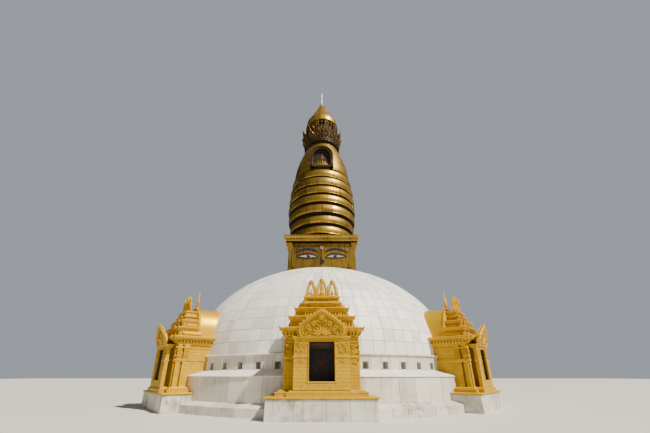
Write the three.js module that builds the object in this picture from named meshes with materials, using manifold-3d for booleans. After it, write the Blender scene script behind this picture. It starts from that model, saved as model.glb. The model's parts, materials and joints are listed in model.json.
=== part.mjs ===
// A stupa with a stepped drum, a white dome, a gilded cube and ringed spire,
// and seven small gold-painted shrines round the drum.
// Millimetres, +Z up. The origin is on the ground at the centre, and shrine 1 faces -Y.

import * as THREE from 'three';
import { mergeVertices } from 'three/addons/utils/BufferGeometryUtils.js';
import Module from 'manifold-3d';

const wasm = await Module();
wasm.setup();

// Driving dimensions

const SHRINES = 7;
const TURN = (2 * Math.PI) / SHRINES;
const DRUM_SIDES = 70;
const SPIRE_SIDES = 32;
const GAP = 0.3;

const STEP = { radius: 11000, riser: 380, top: 520 };
const LOWER = { radius: 10450, top: 1620 };
const COPING = { overhang: 50, lip: 40, top: 1930 };
const BAND = { radius: 9600, thickness: 800, top: 2640 };
const CAP = { radius: 9700, lip: 50, top: 2720 };
const DOME = { radius: 9500, height: 7000, rings: 12 };

const LAMP = { perBay: 5, spacing: TURN / 8, width: 300, height: 340 };
const LAMP_DEPTH = 450;
const LAMP_SILL = 40;

const HARMIKA = { seat: 9100, foot: 9450, neck: 11560, eave: 11700, top: 12180, roof: 12300 };
const HARMIKA_HALF = 2720;
const PANEL_HALF = 2350;
const CORNER_HALF = { foot: 2600, shoulder: 2660, top: 2880 };
const CORNER_SHOULDER = 10900;
const CORNICE_HALF = { bead: 2970, band: 2920, top: 3090 };
const CORNICE_BEAD = 120;

const RING_FEET = [12520, 13430, 14370, 15350, 16270, 17180, 18170, 19150];
const RING_RADII = [2800, 2920, 3080, 3140, 3100, 3020, 2860];
const RING_SHARE = 0.76;
const GROOVE_DEPTH = 260;

const COLLAR = [[2660, 19150], [2640, 19650], [2430, 20700], [1800, 22500], [1400, 23400]];
const NICHE = { half: 1050, foot: 19150, spring: 20500, front: 2860, reveal: 220, frame: 240 };
const CROWN = { drum: 1080, foot: 23400, tray: 1750, trayTop: 23600, leafTop: 25700, top: 26100 };
const CROWN_LEAVES = 12;
const LEAF = { width: 620, thickness: 90, foot: 1680, lean: 0.22 };
const PARASOL = [[1650, 26100], [1680, 26260], [1560, 26900], [1180, 27700], [860, 28300],
  [560, 29000], [170, 29750]];
const MAST = { radius: 55, gem: 150, gemHeight: 420, top: 31750 };

const PLINTH = { half: 2280, front: 11600, top: 800 };
const LEDGE = { half: 2350, front: 11660, top: 880 };
const FOOT = [
  { half: 1930, front: 11350, bayHalf: 1450, bayFront: 11600, top: 1000 },
  { half: 1830, front: 11270, bayHalf: 1360, bayFront: 11570, top: 1130 },
];
const BODY = { half: 1560, front: 11050, top: 3250 };
const PILASTER = { inner: 1215, outer: 1650, front: 11170, back: 10500 };
const CAPITAL = { foot: 2380, top: 2480, spread: 40 };
const DOOR = { half: 545, sill: 1450, head: 3030, back: 10530 };
const PORTAL = { half: 1190, front: 11550, back: 11370, revealHalf: 720, top: 3200 };
const PEDIMENT = { foot: 3200, footHalf: 1000, shoulder: 3800, shoulderHalf: 860, apex: 4360 };
const PEDIMENT_THICKNESS = 130;
const PEDIMENT_LEAN = 0.28;
const PEDIMENT_REACH = 60;

const BACK = 8200;
const TIERS = [
  { half: 1880, front: 11420, foot: 3450, top: 3660, neckHalf: 1660, neckFront: 11180 },
  { half: 1520, front: 11250, foot: 3980, top: 4180, neckHalf: 1400, neckFront: 11100 },
  { half: 1270, front: 11050, foot: 4400, top: 4600, neckHalf: 1180, neckFront: 10940 },
  { half: 930, front: 10870, foot: 4740, top: 4880, neckHalf: 860, neckFront: 10780 },
  { half: 880, front: 10820, foot: 5110, top: 5200, neckHalf: 810, neckFront: 10740 },
];
const TIER_BAY = { inset: 330, reach: 90 };
const VAULT = { half: 1300, spring: 4150, front: 10150, rim: 70, rimDepth: 130 };
const FINIALS = [
  { x: -520, half: 215, height: 900 },
  { x: 0, half: 260, height: 1000 },
  { x: 520, half: 215, height: 900 },
];
const FINIAL = { depth: 110, y: 10630, border: 75 };
const RIDGE_SPIKE = { radius: 150, top: 6600 };

// Materials

function material(color, roughness, metalness) {
  return new THREE.MeshStandardMaterial({ color, roughness, metalness });
}

const marble = material(0xdcd8d0, 0.6, 0);
const greyStone = material(0xb9b1a4, 0.75, 0);
const shrineGold = material(0xd9a441, 0.5, 0.1);
const harmikaGold = material(0xb8902c, 0.4, 0.8);
const spireBrass = material(0x9a7228, 0.35, 0.9);
const darkBrass = material(0x2c241a, 0.6, 0.6);
const paleMetal = material(0xa9b3b5, 0.4, 0.8);

// Shape helpers

function solidOf(geometry) {
  const bare = geometry.clone();
  bare.deleteAttribute('normal');
  bare.deleteAttribute('uv');
  const merged = mergeVertices(bare, 1e-3);
  return new wasm.Manifold(new wasm.Mesh({
    numProp: 3,
    vertProperties: new Float32Array(merged.getAttribute('position').array),
    triVerts: new Uint32Array(merged.getIndex().array),
  }));
}

function geometryOf(solid) {
  const { vertProperties, triVerts } = solid.getMesh();
  const geometry = new THREE.BufferGeometry();
  geometry.setAttribute('position', new THREE.BufferAttribute(vertProperties, 3));
  geometry.setIndex(new THREE.BufferAttribute(triVerts, 1));
  geometry.computeVertexNormals();
  return geometry;
}

function joined(geometries) {
  return geometries.map(solidOf).reduce((whole, next) => whole.add(next));
}

// A closed solid of revolution about Z from a profile of [radius, z] points.
function turned(profile, sides) {
  const points = profile.map(([radius, z]) => new THREE.Vector2(radius, z));
  const geometry = new THREE.LatheGeometry(points, sides);
  geometry.rotateX(Math.PI / 2);
  return geometryOf(solidOf(geometry));
}

// A block from x0 to x1, from z0 to z1, and from u0 to u1 in front of the axis.
function block(x0, x1, u0, u1, z0, z1) {
  const geometry = new THREE.BoxGeometry(x1 - x0, u1 - u0, z1 - z0);
  geometry.translate((x0 + x1) / 2, -(u0 + u1) / 2, (z0 + z1) / 2);
  return geometry;
}

// A block whose front and sides slope from the foot's size to the top's size.
function flaredBlock(foot, top, back, z0, z1) {
  const geometry = new THREE.BoxGeometry(2, 1, z1 - z0);
  const position = geometry.getAttribute('position');
  for (let i = 0; i < position.count; i += 1) {
    const end = position.getZ(i) > 0 ? top : foot;
    const x = position.getX(i) * end.half;
    const y = position.getY(i) < 0 ? -end.front : -back;
    position.setXYZ(i, x, y, end === top ? z1 : z0);
  }
  return geometry;
}

// A plate with an outline in X and Z, standing with its front face at distance u.
function plate(outline, u, thickness, holes = []) {
  const shape = new THREE.Shape(outline.map(([x, z]) => new THREE.Vector2(x, z)));
  for (const hole of holes) {
    shape.holes.push(new THREE.Path(hole.map(([x, z]) => new THREE.Vector2(x, z))));
  }
  const options = { depth: thickness, bevelEnabled: false, steps: 1 };
  const geometry = new THREE.ExtrudeGeometry(shape, options);
  geometry.rotateX(Math.PI / 2);
  geometry.translate(0, thickness - u, 0);
  return geometry;
}

// Points of a round arch over a rectangle, from the left foot to the right foot.
function archOutline(half, foot, spring, steps = 10, x = 0) {
  const points = [[x + half, foot], [x + half, spring]];
  for (let i = 1; i < steps; i += 1) {
    const angle = (Math.PI * i) / steps;
    points.push([x + half * Math.cos(angle), spring + half * Math.sin(angle)]);
  }
  points.push([x - half, spring], [x - half, foot]);
  return points;
}

function ellipsePoint(angle) {
  return [DOME.radius * Math.cos(angle), CAP.top + DOME.height * Math.sin(angle)];
}

// Drum and dome

const LOWER_LIP = LOWER.radius + COPING.overhang;

// Radius, height, and whether the gap beside a neighbour opens upwards or downwards there.
const DRUM_OUTLINE = [
  [STEP.radius, -500, 1],
  [STEP.radius, STEP.riser, 1],
  [LOWER.radius, STEP.top, 1],
  [LOWER.radius, LOWER.top, -1],
  [LOWER_LIP, LOWER.top, -1],
  [LOWER_LIP, LOWER.top + COPING.lip, 1],
  [BAND.radius, COPING.top, 1],
  [BAND.radius, BAND.top, -1],
  [CAP.radius, BAND.top, -1],
  [CAP.radius, BAND.top + CAP.lip, 1],
];

function domeOutline() {
  const points = [];
  for (let i = 0; i < DOME.rings; i += 1) {
    points.push(ellipsePoint((Math.PI / 2) * (i / DOME.rings)));
  }
  return points;
}

function baseStep() {
  return turned([
    [0, 0], [STEP.radius, 0], [STEP.radius, STEP.riser], [LOWER.radius, STEP.top], [0, STEP.top],
  ], DRUM_SIDES);
}

function lowerDrum() {
  const { radius, top } = LOWER;
  return turned([[0, STEP.top], [radius, STEP.top], [radius, top], [0, top]], DRUM_SIDES);
}

function drumCoping() {
  return turned([
    [0, LOWER.top], [LOWER_LIP, LOWER.top], [LOWER_LIP, LOWER.top + COPING.lip],
    [BAND.radius, COPING.top], [0, COPING.top],
  ], DRUM_SIDES);
}

function upperDrumCore() {
  const radius = BAND.radius - BAND.thickness;
  return turned([[0, COPING.top], [radius, COPING.top], [radius, BAND.top], [0, BAND.top]], DRUM_SIDES);
}

function lampBox(angle) {
  const box = block(-LAMP.width / 2, LAMP.width / 2, BAND.radius - LAMP_DEPTH, BAND.radius + 100,
    COPING.top + LAMP_SILL, COPING.top + LAMP_SILL + LAMP.height);
  box.rotateZ(angle);
  return box;
}

// One bay of the upper wall, from one shrine's middle to the next, with its lamp niches.
function lampBand() {
  const inner = BAND.radius - BAND.thickness + GAP;
  const steps = DRUM_SIDES / SHRINES;
  const trim = GAP / BAND.radius;
  const angles = Array.from({ length: steps + 1 }, (_, i) => (TURN * i) / steps);
  angles[0] = trim;
  angles[steps] = TURN - trim;
  const outer = angles.map((a) => new THREE.Vector2(BAND.radius * Math.sin(a), -BAND.radius * Math.cos(a)));
  const back = angles.map((a) => new THREE.Vector2(inner * Math.sin(a), -inner * Math.cos(a)));
  const shape = new THREE.Shape([...outer, ...back.reverse()]);
  const geometry = new THREE.ExtrudeGeometry(shape, { depth: BAND.top - COPING.top, bevelEnabled: false });
  geometry.translate(0, 0, COPING.top);
  let solid = solidOf(geometry);
  for (let i = 0; i < LAMP.perBay; i += 1) {
    const angle = TURN / 2 + (i - (LAMP.perBay - 1) / 2) * LAMP.spacing;
    solid = solid.subtract(solidOf(lampBox(angle)));
  }
  return geometryOf(solid);
}

function drumCap() {
  return turned([
    [0, BAND.top], [CAP.radius, BAND.top], [CAP.radius, BAND.top + CAP.lip],
    [DOME.radius, CAP.top], [0, CAP.top],
  ], DRUM_SIDES);
}

// The dome has a square seat cut into its top for the harmika.
function dome() {
  const whole = turned([[0, CAP.top], ...domeOutline(), [0, CAP.top + DOME.height]], DRUM_SIDES);
  const side = HARMIKA_HALF + GAP;
  const seat = block(-side, side, -side, side, HARMIKA.seat, CAP.top + DOME.height + 500);
  return geometryOf(solidOf(whole).subtract(solidOf(seat)));
}

// Harmika

// A square frustum round the axis, from its half widths at the foot and the top.
function squareFrustum(halfFoot, halfTop, z0, z1) {
  const geometry = new THREE.CylinderGeometry(halfTop * Math.SQRT2, halfFoot * Math.SQRT2, z1 - z0, 4);
  geometry.rotateX(Math.PI / 2);
  geometry.rotateZ(Math.PI / 4);
  geometry.translate(0, 0, (z0 + z1) / 2);
  return solidOf(geometry);
}

function harmikaBody() {
  const top = HARMIKA.neck;
  const foot = block(-HARMIKA_HALF, HARMIKA_HALF, -HARMIKA_HALF, HARMIKA_HALF, HARMIKA.seat, HARMIKA.foot);
  const panelX = block(-HARMIKA_HALF, HARMIKA_HALF, -PANEL_HALF, PANEL_HALF, HARMIKA.seat, top);
  const panelY = block(-PANEL_HALF, PANEL_HALF, -HARMIKA_HALF, HARMIKA_HALF, HARMIKA.seat, top);
  const recess = PANEL_HALF + 150;
  const neck = block(-recess, recess, -recess, recess, HARMIKA.neck - 100, HARMIKA.eave);
  const corners = squareFrustum(CORNER_HALF.foot, CORNER_HALF.shoulder, HARMIKA.seat, CORNER_SHOULDER);
  const flare = squareFrustum(CORNER_HALF.shoulder, CORNER_HALF.top, CORNER_SHOULDER, top);
  const whole = joined([foot, panelX, panelY, neck]).add(corners).add(flare);
  return geometryOf(whole);
}

function harmikaCornice() {
  const beadTop = HARMIKA.eave + CORNICE_BEAD;
  const bead = squareFrustum(CORNICE_HALF.bead, CORNICE_HALF.bead, HARMIKA.eave, beadTop);
  const band = squareFrustum(CORNICE_HALF.band, CORNICE_HALF.top, beadTop, HARMIKA.top);
  return geometryOf(bead.add(band));
}

function harmikaRoof() {
  return geometryOf(squareFrustum(CORNICE_HALF.band, CORNICE_HALF.band - 60, HARMIKA.top, HARMIKA.roof));
}

// Spire

// One ring: a convex band with a narrower groove over it, up to the next ring's foot.
function spireRing(index) {
  const foot = RING_FEET[index];
  const next = RING_FEET[index + 1];
  const radius = RING_RADII[index];
  const bandTop = foot + (next - foot) * RING_SHARE;
  const height = bandTop - foot;
  const groove = radius - GROOVE_DEPTH;
  const start = index === 0 ? [[0, HARMIKA.roof], [groove, HARMIKA.roof], [groove, foot]] : [[0, foot]];
  return turned([
    ...start,
    [radius - 60, foot],
    [radius, foot + height * 0.3],
    [radius - 10, foot + height * 0.65],
    [radius - 70, bandTop],
    [groove, bandTop + 40],
    [groove, next],
    [0, next],
  ], SPIRE_SIDES);
}

function spireCollar() {
  const [, lowest] = COLLAR[0];
  const [, highest] = COLLAR[COLLAR.length - 1];
  return turned([[0, lowest], ...COLLAR, [0, highest]], SPIRE_SIDES);
}

// The arched niche stands on the last ring's edge against the collar's front.
function collarNiche() {
  const outer = archOutline(NICHE.half, NICHE.foot, NICHE.spring);
  const inner = archOutline(NICHE.half - NICHE.frame, NICHE.foot + NICHE.frame, NICHE.spring);
  const depth = NICHE.front - 1500;
  const frame = solidOf(plate(outer, NICHE.front, depth));
  const recess = solidOf(plate(inner, NICHE.front + 10, NICHE.reveal + 10));
  const collar = COLLAR.map(([radius, z]) => [radius + 2 * GAP, z]);
  const cutter = solidOf(turned([[0, 19000], [COLLAR[0][0] + 2 * GAP, 19000], ...collar,
    [0, 23400]], SPIRE_SIDES));
  return geometryOf(frame.subtract(recess).subtract(cutter));
}

function crownDrum() {
  return turned([
    [0, CROWN.foot], [CROWN.tray, CROWN.foot], [CROWN.tray + 60, CROWN.foot + 100],
    [CROWN.tray, CROWN.trayTop], [CROWN.drum, CROWN.trayTop], [CROWN.drum - 60, 24800],
    [CROWN.drum + 120, CROWN.top], [0, CROWN.top],
  ], SPIRE_SIDES);
}

function leafOutline() {
  const half = LEAF.width / 2;
  const height = CROWN.leafTop - CROWN.trayTop;
  return [
    [-half * 0.5, 0], [half * 0.5, 0], [half, height * 0.35], [half * 0.8, height * 0.75],
    [0, height], [-half * 0.8, height * 0.75], [-half, height * 0.35],
  ];
}

// A ring of pointed leaves that lean outwards on one low band.
function crownLeaves() {
  const band = turned([
    [LEAF.foot - 120, CROWN.trayTop], [LEAF.foot, CROWN.trayTop], [LEAF.foot + 60, CROWN.trayTop + 260],
    [LEAF.foot - 120, CROWN.trayTop + 260], [LEAF.foot - 120, CROWN.trayTop],
  ], SPIRE_SIDES);
  let whole = solidOf(band);
  for (let i = 0; i < CROWN_LEAVES; i += 1) {
    const leaf = plate(leafOutline(), 0, LEAF.thickness);
    leaf.translate(0, 0, 60);
    leaf.rotateX(LEAF.lean);
    leaf.translate(0, -LEAF.foot + 20, CROWN.trayTop);
    leaf.rotateZ((2 * Math.PI * (i + 0.5)) / CROWN_LEAVES);
    whole = whole.add(solidOf(leaf));
  }
  return geometryOf(whole);
}

function parasol() {
  const [, rim] = PARASOL[0];
  const [, tip] = PARASOL[PARASOL.length - 1];
  return turned([[0, rim], ...PARASOL, [0, tip]], SPIRE_SIDES);
}

function pinnacle() {
  const [, tip] = PARASOL[PARASOL.length - 1];
  const gemTop = tip + MAST.gemHeight;
  return turned([
    [0, tip], [MAST.gem * 0.6, tip], [MAST.gem, tip + MAST.gemHeight * 0.4], [MAST.radius, gemTop],
    [MAST.radius, MAST.top - 40], [0, MAST.top],
  ], 16);
}

// Shrine pieces, all in front of the axis and cut where they meet the drum and dome

function drumCutter() {
  const outline = [...DRUM_OUTLINE, ...domeOutline()];
  const grown = outline.map(([radius, z, lift = 1]) => [radius + 2 * GAP, z + lift * GAP]);
  return solidOf(turned([[0, -500], ...grown, [0, CAP.top + DOME.height + GAP]], DRUM_SIDES));
}

const cutter = drumCutter();

function fitted(solid) {
  return geometryOf(solid.subtract(cutter));
}

function shrinePlinth() {
  return fitted(solidOf(block(-PLINTH.half, PLINTH.half, BACK, PLINTH.front, 0, PLINTH.top)));
}

function footMouldings() {
  const pieces = [];
  let z = LEDGE.top;
  for (const foot of FOOT) {
    pieces.push(block(-foot.half, foot.half, BACK, foot.front, z, foot.top));
    pieces.push(block(-foot.bayHalf, foot.bayHalf, BACK, foot.bayFront, z, foot.top));
    z = foot.top;
  }
  return pieces;
}

function pilaster(side) {
  const [x0, x1] = side < 0 ? [-PILASTER.outer, -PILASTER.inner] : [PILASTER.inner, PILASTER.outer];
  const { spread } = CAPITAL;
  const foot = FOOT[1].top;
  return [
    block(x0, x1, PILASTER.back, PILASTER.front, foot, BODY.top),
    block(x0 - spread, x1 + spread, PILASTER.back - spread, PILASTER.front + spread,
      CAPITAL.foot, CAPITAL.top),
  ];
}

function shrineHouse() {
  const ledge = block(-LEDGE.half, LEDGE.half, BACK, LEDGE.front, PLINTH.top, LEDGE.top);
  const core = block(-BODY.half, BODY.half, BACK, BODY.front, FOOT[1].top, BODY.top);
  const whole = joined([ledge, ...footMouldings(), core, ...pilaster(-1), ...pilaster(1)]);
  const doorway = block(-DOOR.half, DOOR.half, DOOR.back, BODY.front + 100, DOOR.sill, DOOR.head);
  return fitted(whole.subtract(solidOf(doorway)));
}

function pediment() {
  const p = PEDIMENT;
  const outline = [
    [-p.footHalf, 0], [p.footHalf, 0], [p.shoulderHalf, p.shoulder - p.foot],
    [0, p.apex - p.foot], [-p.shoulderHalf, p.shoulder - p.foot],
  ];
  const leaf = plate(outline, 0, PEDIMENT_THICKNESS);
  leaf.rotateX(PEDIMENT_LEAN);
  leaf.translate(0, -PORTAL.front - PEDIMENT_REACH, p.foot - 20);
  return leaf;
}

// The door surround stands clear of the walls beside a narrower passage to the doorway.
function shrinePortal() {
  const foot = FOOT[1].top;
  const slab = block(-PORTAL.half, PORTAL.half, PORTAL.back, PORTAL.front, foot, PORTAL.top);
  const passage = block(-PORTAL.revealHalf, PORTAL.revealHalf, BODY.front + GAP, PORTAL.back + 10,
    foot, PORTAL.top);
  const whole = joined([slab, passage, pediment()]);
  const doorway = block(-DOOR.half, DOOR.half, BODY.front - 100, PORTAL.front + 100, DOOR.sill, DOOR.head);
  return geometryOf(whole.subtract(solidOf(doorway)));
}

// The lowest tier runs back into the dome. Those above it end inside the front of the vault.
function tierPieces(tier, neckFoot, back) {
  const slabFoot = { half: tier.neckHalf, front: tier.neckFront };
  const slabTop = { half: tier.half, front: tier.front };
  const bayHalf = tier.half - TIER_BAY.inset;
  const slabMiddle = (tier.foot + tier.top) / 2;
  return [
    block(-tier.neckHalf, tier.neckHalf, back, tier.neckFront, neckFoot, tier.foot),
    flaredBlock(slabFoot, slabTop, back, tier.foot, slabMiddle),
    block(-tier.half, tier.half, back, tier.front, slabMiddle, tier.top),
    block(-bayHalf, bayHalf, back, tier.front + TIER_BAY.reach, slabMiddle, tier.top),
  ];
}

function vaultPieces() {
  const [eave] = TIERS;
  const half = VAULT.half;
  const rim = half + VAULT.rim;
  return [
    plate(archOutline(half, eave.top - 50, VAULT.spring, 8), VAULT.front, VAULT.front - BACK),
    plate(archOutline(rim, eave.top - 50, VAULT.spring, 8), VAULT.front + 10, VAULT.rimDepth),
  ];
}

// A pointed arch with a small vase inside its open middle.
function finialPieces({ x, half, height }) {
  const foot = TIERS[TIERS.length - 1].top;
  const arch = (grow, base) => [
    [x - half + grow, base], [x + half - grow, base], [x + half - grow, foot + height * 0.42],
    [x + half * 0.55 - grow * 0.8, foot + height * 0.68], [x, foot + height - grow * 2.6],
    [x - half * 0.55 + grow * 0.8, foot + height * 0.68], [x - half + grow, foot + height * 0.42],
  ];
  const vase = new THREE.CylinderGeometry(20, half * 0.34, height * 0.5, 8);
  vase.rotateX(Math.PI / 2);
  vase.translate(x, -FINIAL.y + FINIAL.depth / 2, foot + height * 0.25);
  const frame = plate(arch(0, foot - 20), FINIAL.y, FINIAL.depth, [arch(FINIAL.border, foot + 50).reverse()]);
  return [frame, vase];
}

function ridgeSpike() {
  const foot = VAULT.spring + VAULT.half - 80;
  const { radius, top } = RIDGE_SPIKE;
  const profile = [[0, foot], [radius, foot], [radius * 0.9, foot + 260], [radius * 0.35, foot + 420], [0, top]];
  const geometry = turned(profile, 8);
  geometry.translate(0, -VAULT.front + VAULT.rimDepth * 1.3, 0);
  return geometry;
}

function shrineRoof() {
  const pieces = [];
  let z = BODY.top;
  for (const tier of TIERS) {
    const back = tier === TIERS[0] ? BACK : VAULT.front - 100;
    pieces.push(...tierPieces(tier, z, back));
    z = tier.top - 10;
  }
  pieces.push(...vaultPieces(), ridgeSpike());
  for (const finial of FINIALS) {
    pieces.push(...finialPieces(finial));
  }
  return fitted(joined(pieces));
}

// Assembly

const group = new THREE.Group();

function add(parent, name, geometry, finish) {
  const mesh = new THREE.Mesh(geometry, finish);
  mesh.name = name;
  parent.add(mesh);
}

add(group, 'base_step', baseStep(), greyStone);
add(group, 'lower_drum', lowerDrum(), greyStone);
add(group, 'drum_coping', drumCoping(), marble);
add(group, 'upper_drum_core', upperDrumCore(), greyStone);
add(group, 'drum_cap', drumCap(), marble);
add(group, 'dome', dome(), marble);
add(group, 'harmika_body', harmikaBody(), harmikaGold);
add(group, 'harmika_cornice', harmikaCornice(), harmikaGold);
add(group, 'harmika_roof', harmikaRoof(), harmikaGold);

for (let i = 0; i < RING_RADII.length; i += 1) {
  add(group, `spire_ring_${i + 1}`, spireRing(i), spireBrass);
}

add(group, 'spire_collar', spireCollar(), spireBrass);
add(group, 'collar_niche', collarNiche(), darkBrass);
add(group, 'crown_drum', crownDrum(), darkBrass);
add(group, 'crown_leaves', crownLeaves(), darkBrass);
add(group, 'parasol', parasol(), spireBrass);
add(group, 'pinnacle', pinnacle(), paleMetal);

const bandGeometry = lampBand();
const plinthGeometry = shrinePlinth();
const houseGeometry = shrineHouse();
const portalGeometry = shrinePortal();
const roofGeometry = shrineRoof();

for (let i = 0; i < SHRINES; i += 1) {
  const bay = new THREE.Group();
  bay.rotation.z = TURN * i;
  add(bay, `lamp_band_${i + 1}`, bandGeometry, greyStone);
  add(bay, `shrine_${i + 1}_plinth`, plinthGeometry, marble);
  add(bay, `shrine_${i + 1}_house`, houseGeometry, shrineGold);
  add(bay, `shrine_${i + 1}_portal`, portalGeometry, shrineGold);
  add(bay, `shrine_${i + 1}_roof`, roofGeometry, shrineGold);
  group.add(bay);
}

export default group;
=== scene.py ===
# %% [markdown]
# # A domed stupa, dressed for a render
# The solids in the frame carry the sizes: a stepped drum, a dome, a gilded cube (the harmika),
# a ringed spire and small shrines round the drum. This script lays the visible skin over them:
# marble slabs, coursed and painted masonry, beaten and gilded copper. Every surface is worked
# out with numpy from a formula, so each cell can be read on its own and changed by its numbers.

# %% Load the frame
import json
import math

import bpy
import numpy as np
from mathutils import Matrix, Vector

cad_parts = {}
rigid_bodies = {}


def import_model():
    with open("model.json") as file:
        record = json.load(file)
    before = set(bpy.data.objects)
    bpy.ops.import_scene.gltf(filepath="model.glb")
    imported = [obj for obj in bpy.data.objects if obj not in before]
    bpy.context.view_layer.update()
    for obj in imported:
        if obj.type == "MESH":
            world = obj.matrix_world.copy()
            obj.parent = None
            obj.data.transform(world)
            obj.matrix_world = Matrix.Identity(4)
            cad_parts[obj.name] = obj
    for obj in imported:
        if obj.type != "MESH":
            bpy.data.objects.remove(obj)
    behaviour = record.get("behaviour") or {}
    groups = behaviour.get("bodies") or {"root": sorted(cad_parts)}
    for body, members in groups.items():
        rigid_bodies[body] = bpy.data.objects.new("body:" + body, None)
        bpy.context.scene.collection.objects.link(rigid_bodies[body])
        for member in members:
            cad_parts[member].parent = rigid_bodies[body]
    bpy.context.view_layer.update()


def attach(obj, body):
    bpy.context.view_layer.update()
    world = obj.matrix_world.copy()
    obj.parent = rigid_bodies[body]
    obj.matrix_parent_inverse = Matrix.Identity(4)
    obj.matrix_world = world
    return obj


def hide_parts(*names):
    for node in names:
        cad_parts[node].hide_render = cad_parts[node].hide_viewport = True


for leftover in list(bpy.data.objects):
    bpy.data.objects.remove(leftover)
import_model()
SHRINES = 7

# %% [markdown]
# ## Shapes as points and faces
# A shape here is a pair: an array of points, and a list of face tables, where each table holds
# one row of point numbers per face. Many shapes can then be joined into one mesh with a few
# whole-array calls. Each shape also gets one random number, its tone, kept on the mesh as an
# attribute, so that a material can make every slab or sheet a little lighter or darker.

# %% Join shapes into one mesh object
rng = np.random.default_rng(7)


def facing_out(points, faces):
    """The faces, turned round if the volume that they enclose is negative, which means inside out."""
    volume = 0.0
    for table in faces:
        first = points[table[:, 0]]
        for corner in range(1, table.shape[1] - 1):
            volume += np.sum(first * np.cross(points[table[:, corner]], points[table[:, corner + 1]]))
    return [table[:, ::-1] for table in faces] if volume < 0 else faces


def join(shapes):
    """One (points, faces, tones) shape from many, each face table moved up past the points before it."""
    points, faces, tones, base = [], [], [], 0
    for places, tables, *tone in shapes:
        points.append(places)
        faces.extend(table + base for table in facing_out(places - places.mean(axis=0), tables))
        tones.append(tone[0] if tone else np.full(len(places), rng.random()))
        base += len(places)
    return np.concatenate(points), faces, np.concatenate(tones)


def add_piece(name, shapes, finish, replaces=(), smooth=0.0):
    """A mesh object from shapes, in the finish of that name; edges under smooth degrees shade as one."""
    points, faces, tones = join(shapes)
    corners = np.concatenate([table.ravel() for table in faces]).astype(np.int32)
    sizes = np.concatenate([np.full(len(table), table.shape[1]) for table in faces]).astype(np.int32)
    mesh = bpy.data.meshes.new(name)
    mesh.vertices.add(len(points))
    mesh.vertices.foreach_set("co", points.astype(np.float32).ravel())
    mesh.loops.add(len(corners))
    mesh.loops.foreach_set("vertex_index", corners)
    mesh.polygons.add(len(sizes))
    mesh.polygons.foreach_set("loop_start", (np.cumsum(sizes) - sizes).astype(np.int32))
    mesh.polygons.foreach_set("loop_total", sizes)
    tone = mesh.attributes.new("tone", "FLOAT", "POINT")
    tone.data.foreach_set("value", tones.astype(np.float32))
    mesh.update(calc_edges=True)
    mesh.validate()
    if smooth:
        mesh.set_sharp_from_angle(angle=math.radians(smooth))
    else:
        mesh.shade_flat()
    mesh.materials.append(FINISHES[finish])
    piece = bpy.data.objects.new(name, mesh)
    bpy.context.scene.collection.objects.link(piece)
    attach(piece, "root")
    if replaces:
        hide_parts(*replaces)
    print(name, len(sizes), "faces")


# %% [markdown]
# ## Four ways to make a surface
# Almost everything on this building is one of four things: a stack of rings (a turned dome, a
# moulding carried round a plan), a strip carried along a path (a scroll or a horn), a flat plate
# with an outline, or a stone slab with worn edges. A moulding is the same idea as a lathe: the
# plan is walked round at each height of the profile, pushed outwards by the profile's depth.

# %% Rings stacked into a closed skin
def ring_stack(rings):
    """A closed skin over rows of rings: quads between neighbouring rings, one flat face over each end."""
    rows, columns = rings.shape[:2]
    index = np.arange(rows * columns).reshape(rows, columns)
    following = np.roll(index, -1, axis=1)
    quads = np.stack([index[:-1], following[:-1], following[1:], index[1:]], axis=-1).reshape(-1, 4)
    return rings.reshape(-1, 3), [quads, index[:1, ::-1], index[-1:]]


def ring_stacks(rings):
    """Many such skins at once: rings[i] are the rings of block i, and each block gets its own tone."""
    count, rows, columns = rings.shape[:3]
    ahead = rows * columns * np.arange(count)[:, None, None]
    faces = [(table + ahead).reshape(-1, table.shape[1]) for table in ring_stack(rings[0])[1]]
    return rings.reshape(-1, 3), faces, np.repeat(rng.random(count), rows * columns)


def turned(profile, sides=96):
    """A solid of revolution: each (radius, height) of the profile becomes a ring about the upright axis."""
    profile = np.asarray(profile, float)
    turn = np.linspace(0, 2 * np.pi, sides, endpoint=False)
    x, y = profile[:, :1] * np.cos(turn), profile[:, :1] * np.sin(turn)
    return ring_stack(np.stack([x, y, np.broadcast_to(profile[:, 1:], x.shape)], axis=-1))


def outward(plan):
    """For each corner of a plan, walked anticlockwise, the offset that moves both its sides out by one."""
    side = np.roll(plan, -1, axis=0) - plan
    side /= np.linalg.norm(side, axis=1, keepdims=True)
    normal = np.stack([side[:, 1], -side[:, 0]], axis=1)
    before = np.roll(normal, 1, axis=0)
    return (before + normal) / (1 + np.sum(before * normal, axis=1, keepdims=True))


def moulded(plan, profile):
    """A moulding: the plan at each (depth, height) of the profile, pushed outwards by that depth."""
    plan, profile = np.asarray(plan, float), np.asarray(profile, float)
    ring = plan[None] + profile[:, :1, None] * outward(plan)[None]
    z = np.broadcast_to(profile[:, 1:, None], ring.shape[:2] + (1,))
    return ring_stack(np.concatenate([ring, z], axis=-1))


def rectangle(x0, x1, y0, y1):
    """The four corners of a rectangle, anticlockwise."""
    return np.array([[x0, y0], [x1, y0], [x1, y1], [x0, y1]], float)


def box(low, high, bevel=0.01):
    """A block with its edges cut back by the bevel at the top and bottom."""
    plan = rectangle(low[0], high[0], low[1], high[1])
    return moulded(plan, [(-bevel, low[2]), (0, low[2] + bevel), (0, high[2] - bevel), (-bevel, high[2])])


# %% Strips, plates and slabs
def upright(line, y):
    """A line of (x, z) points, stood up in the plane y."""
    line = np.asarray(line, float)
    return np.column_stack([line[:, 0], np.full(len(line), y), line[:, 1]])


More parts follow.
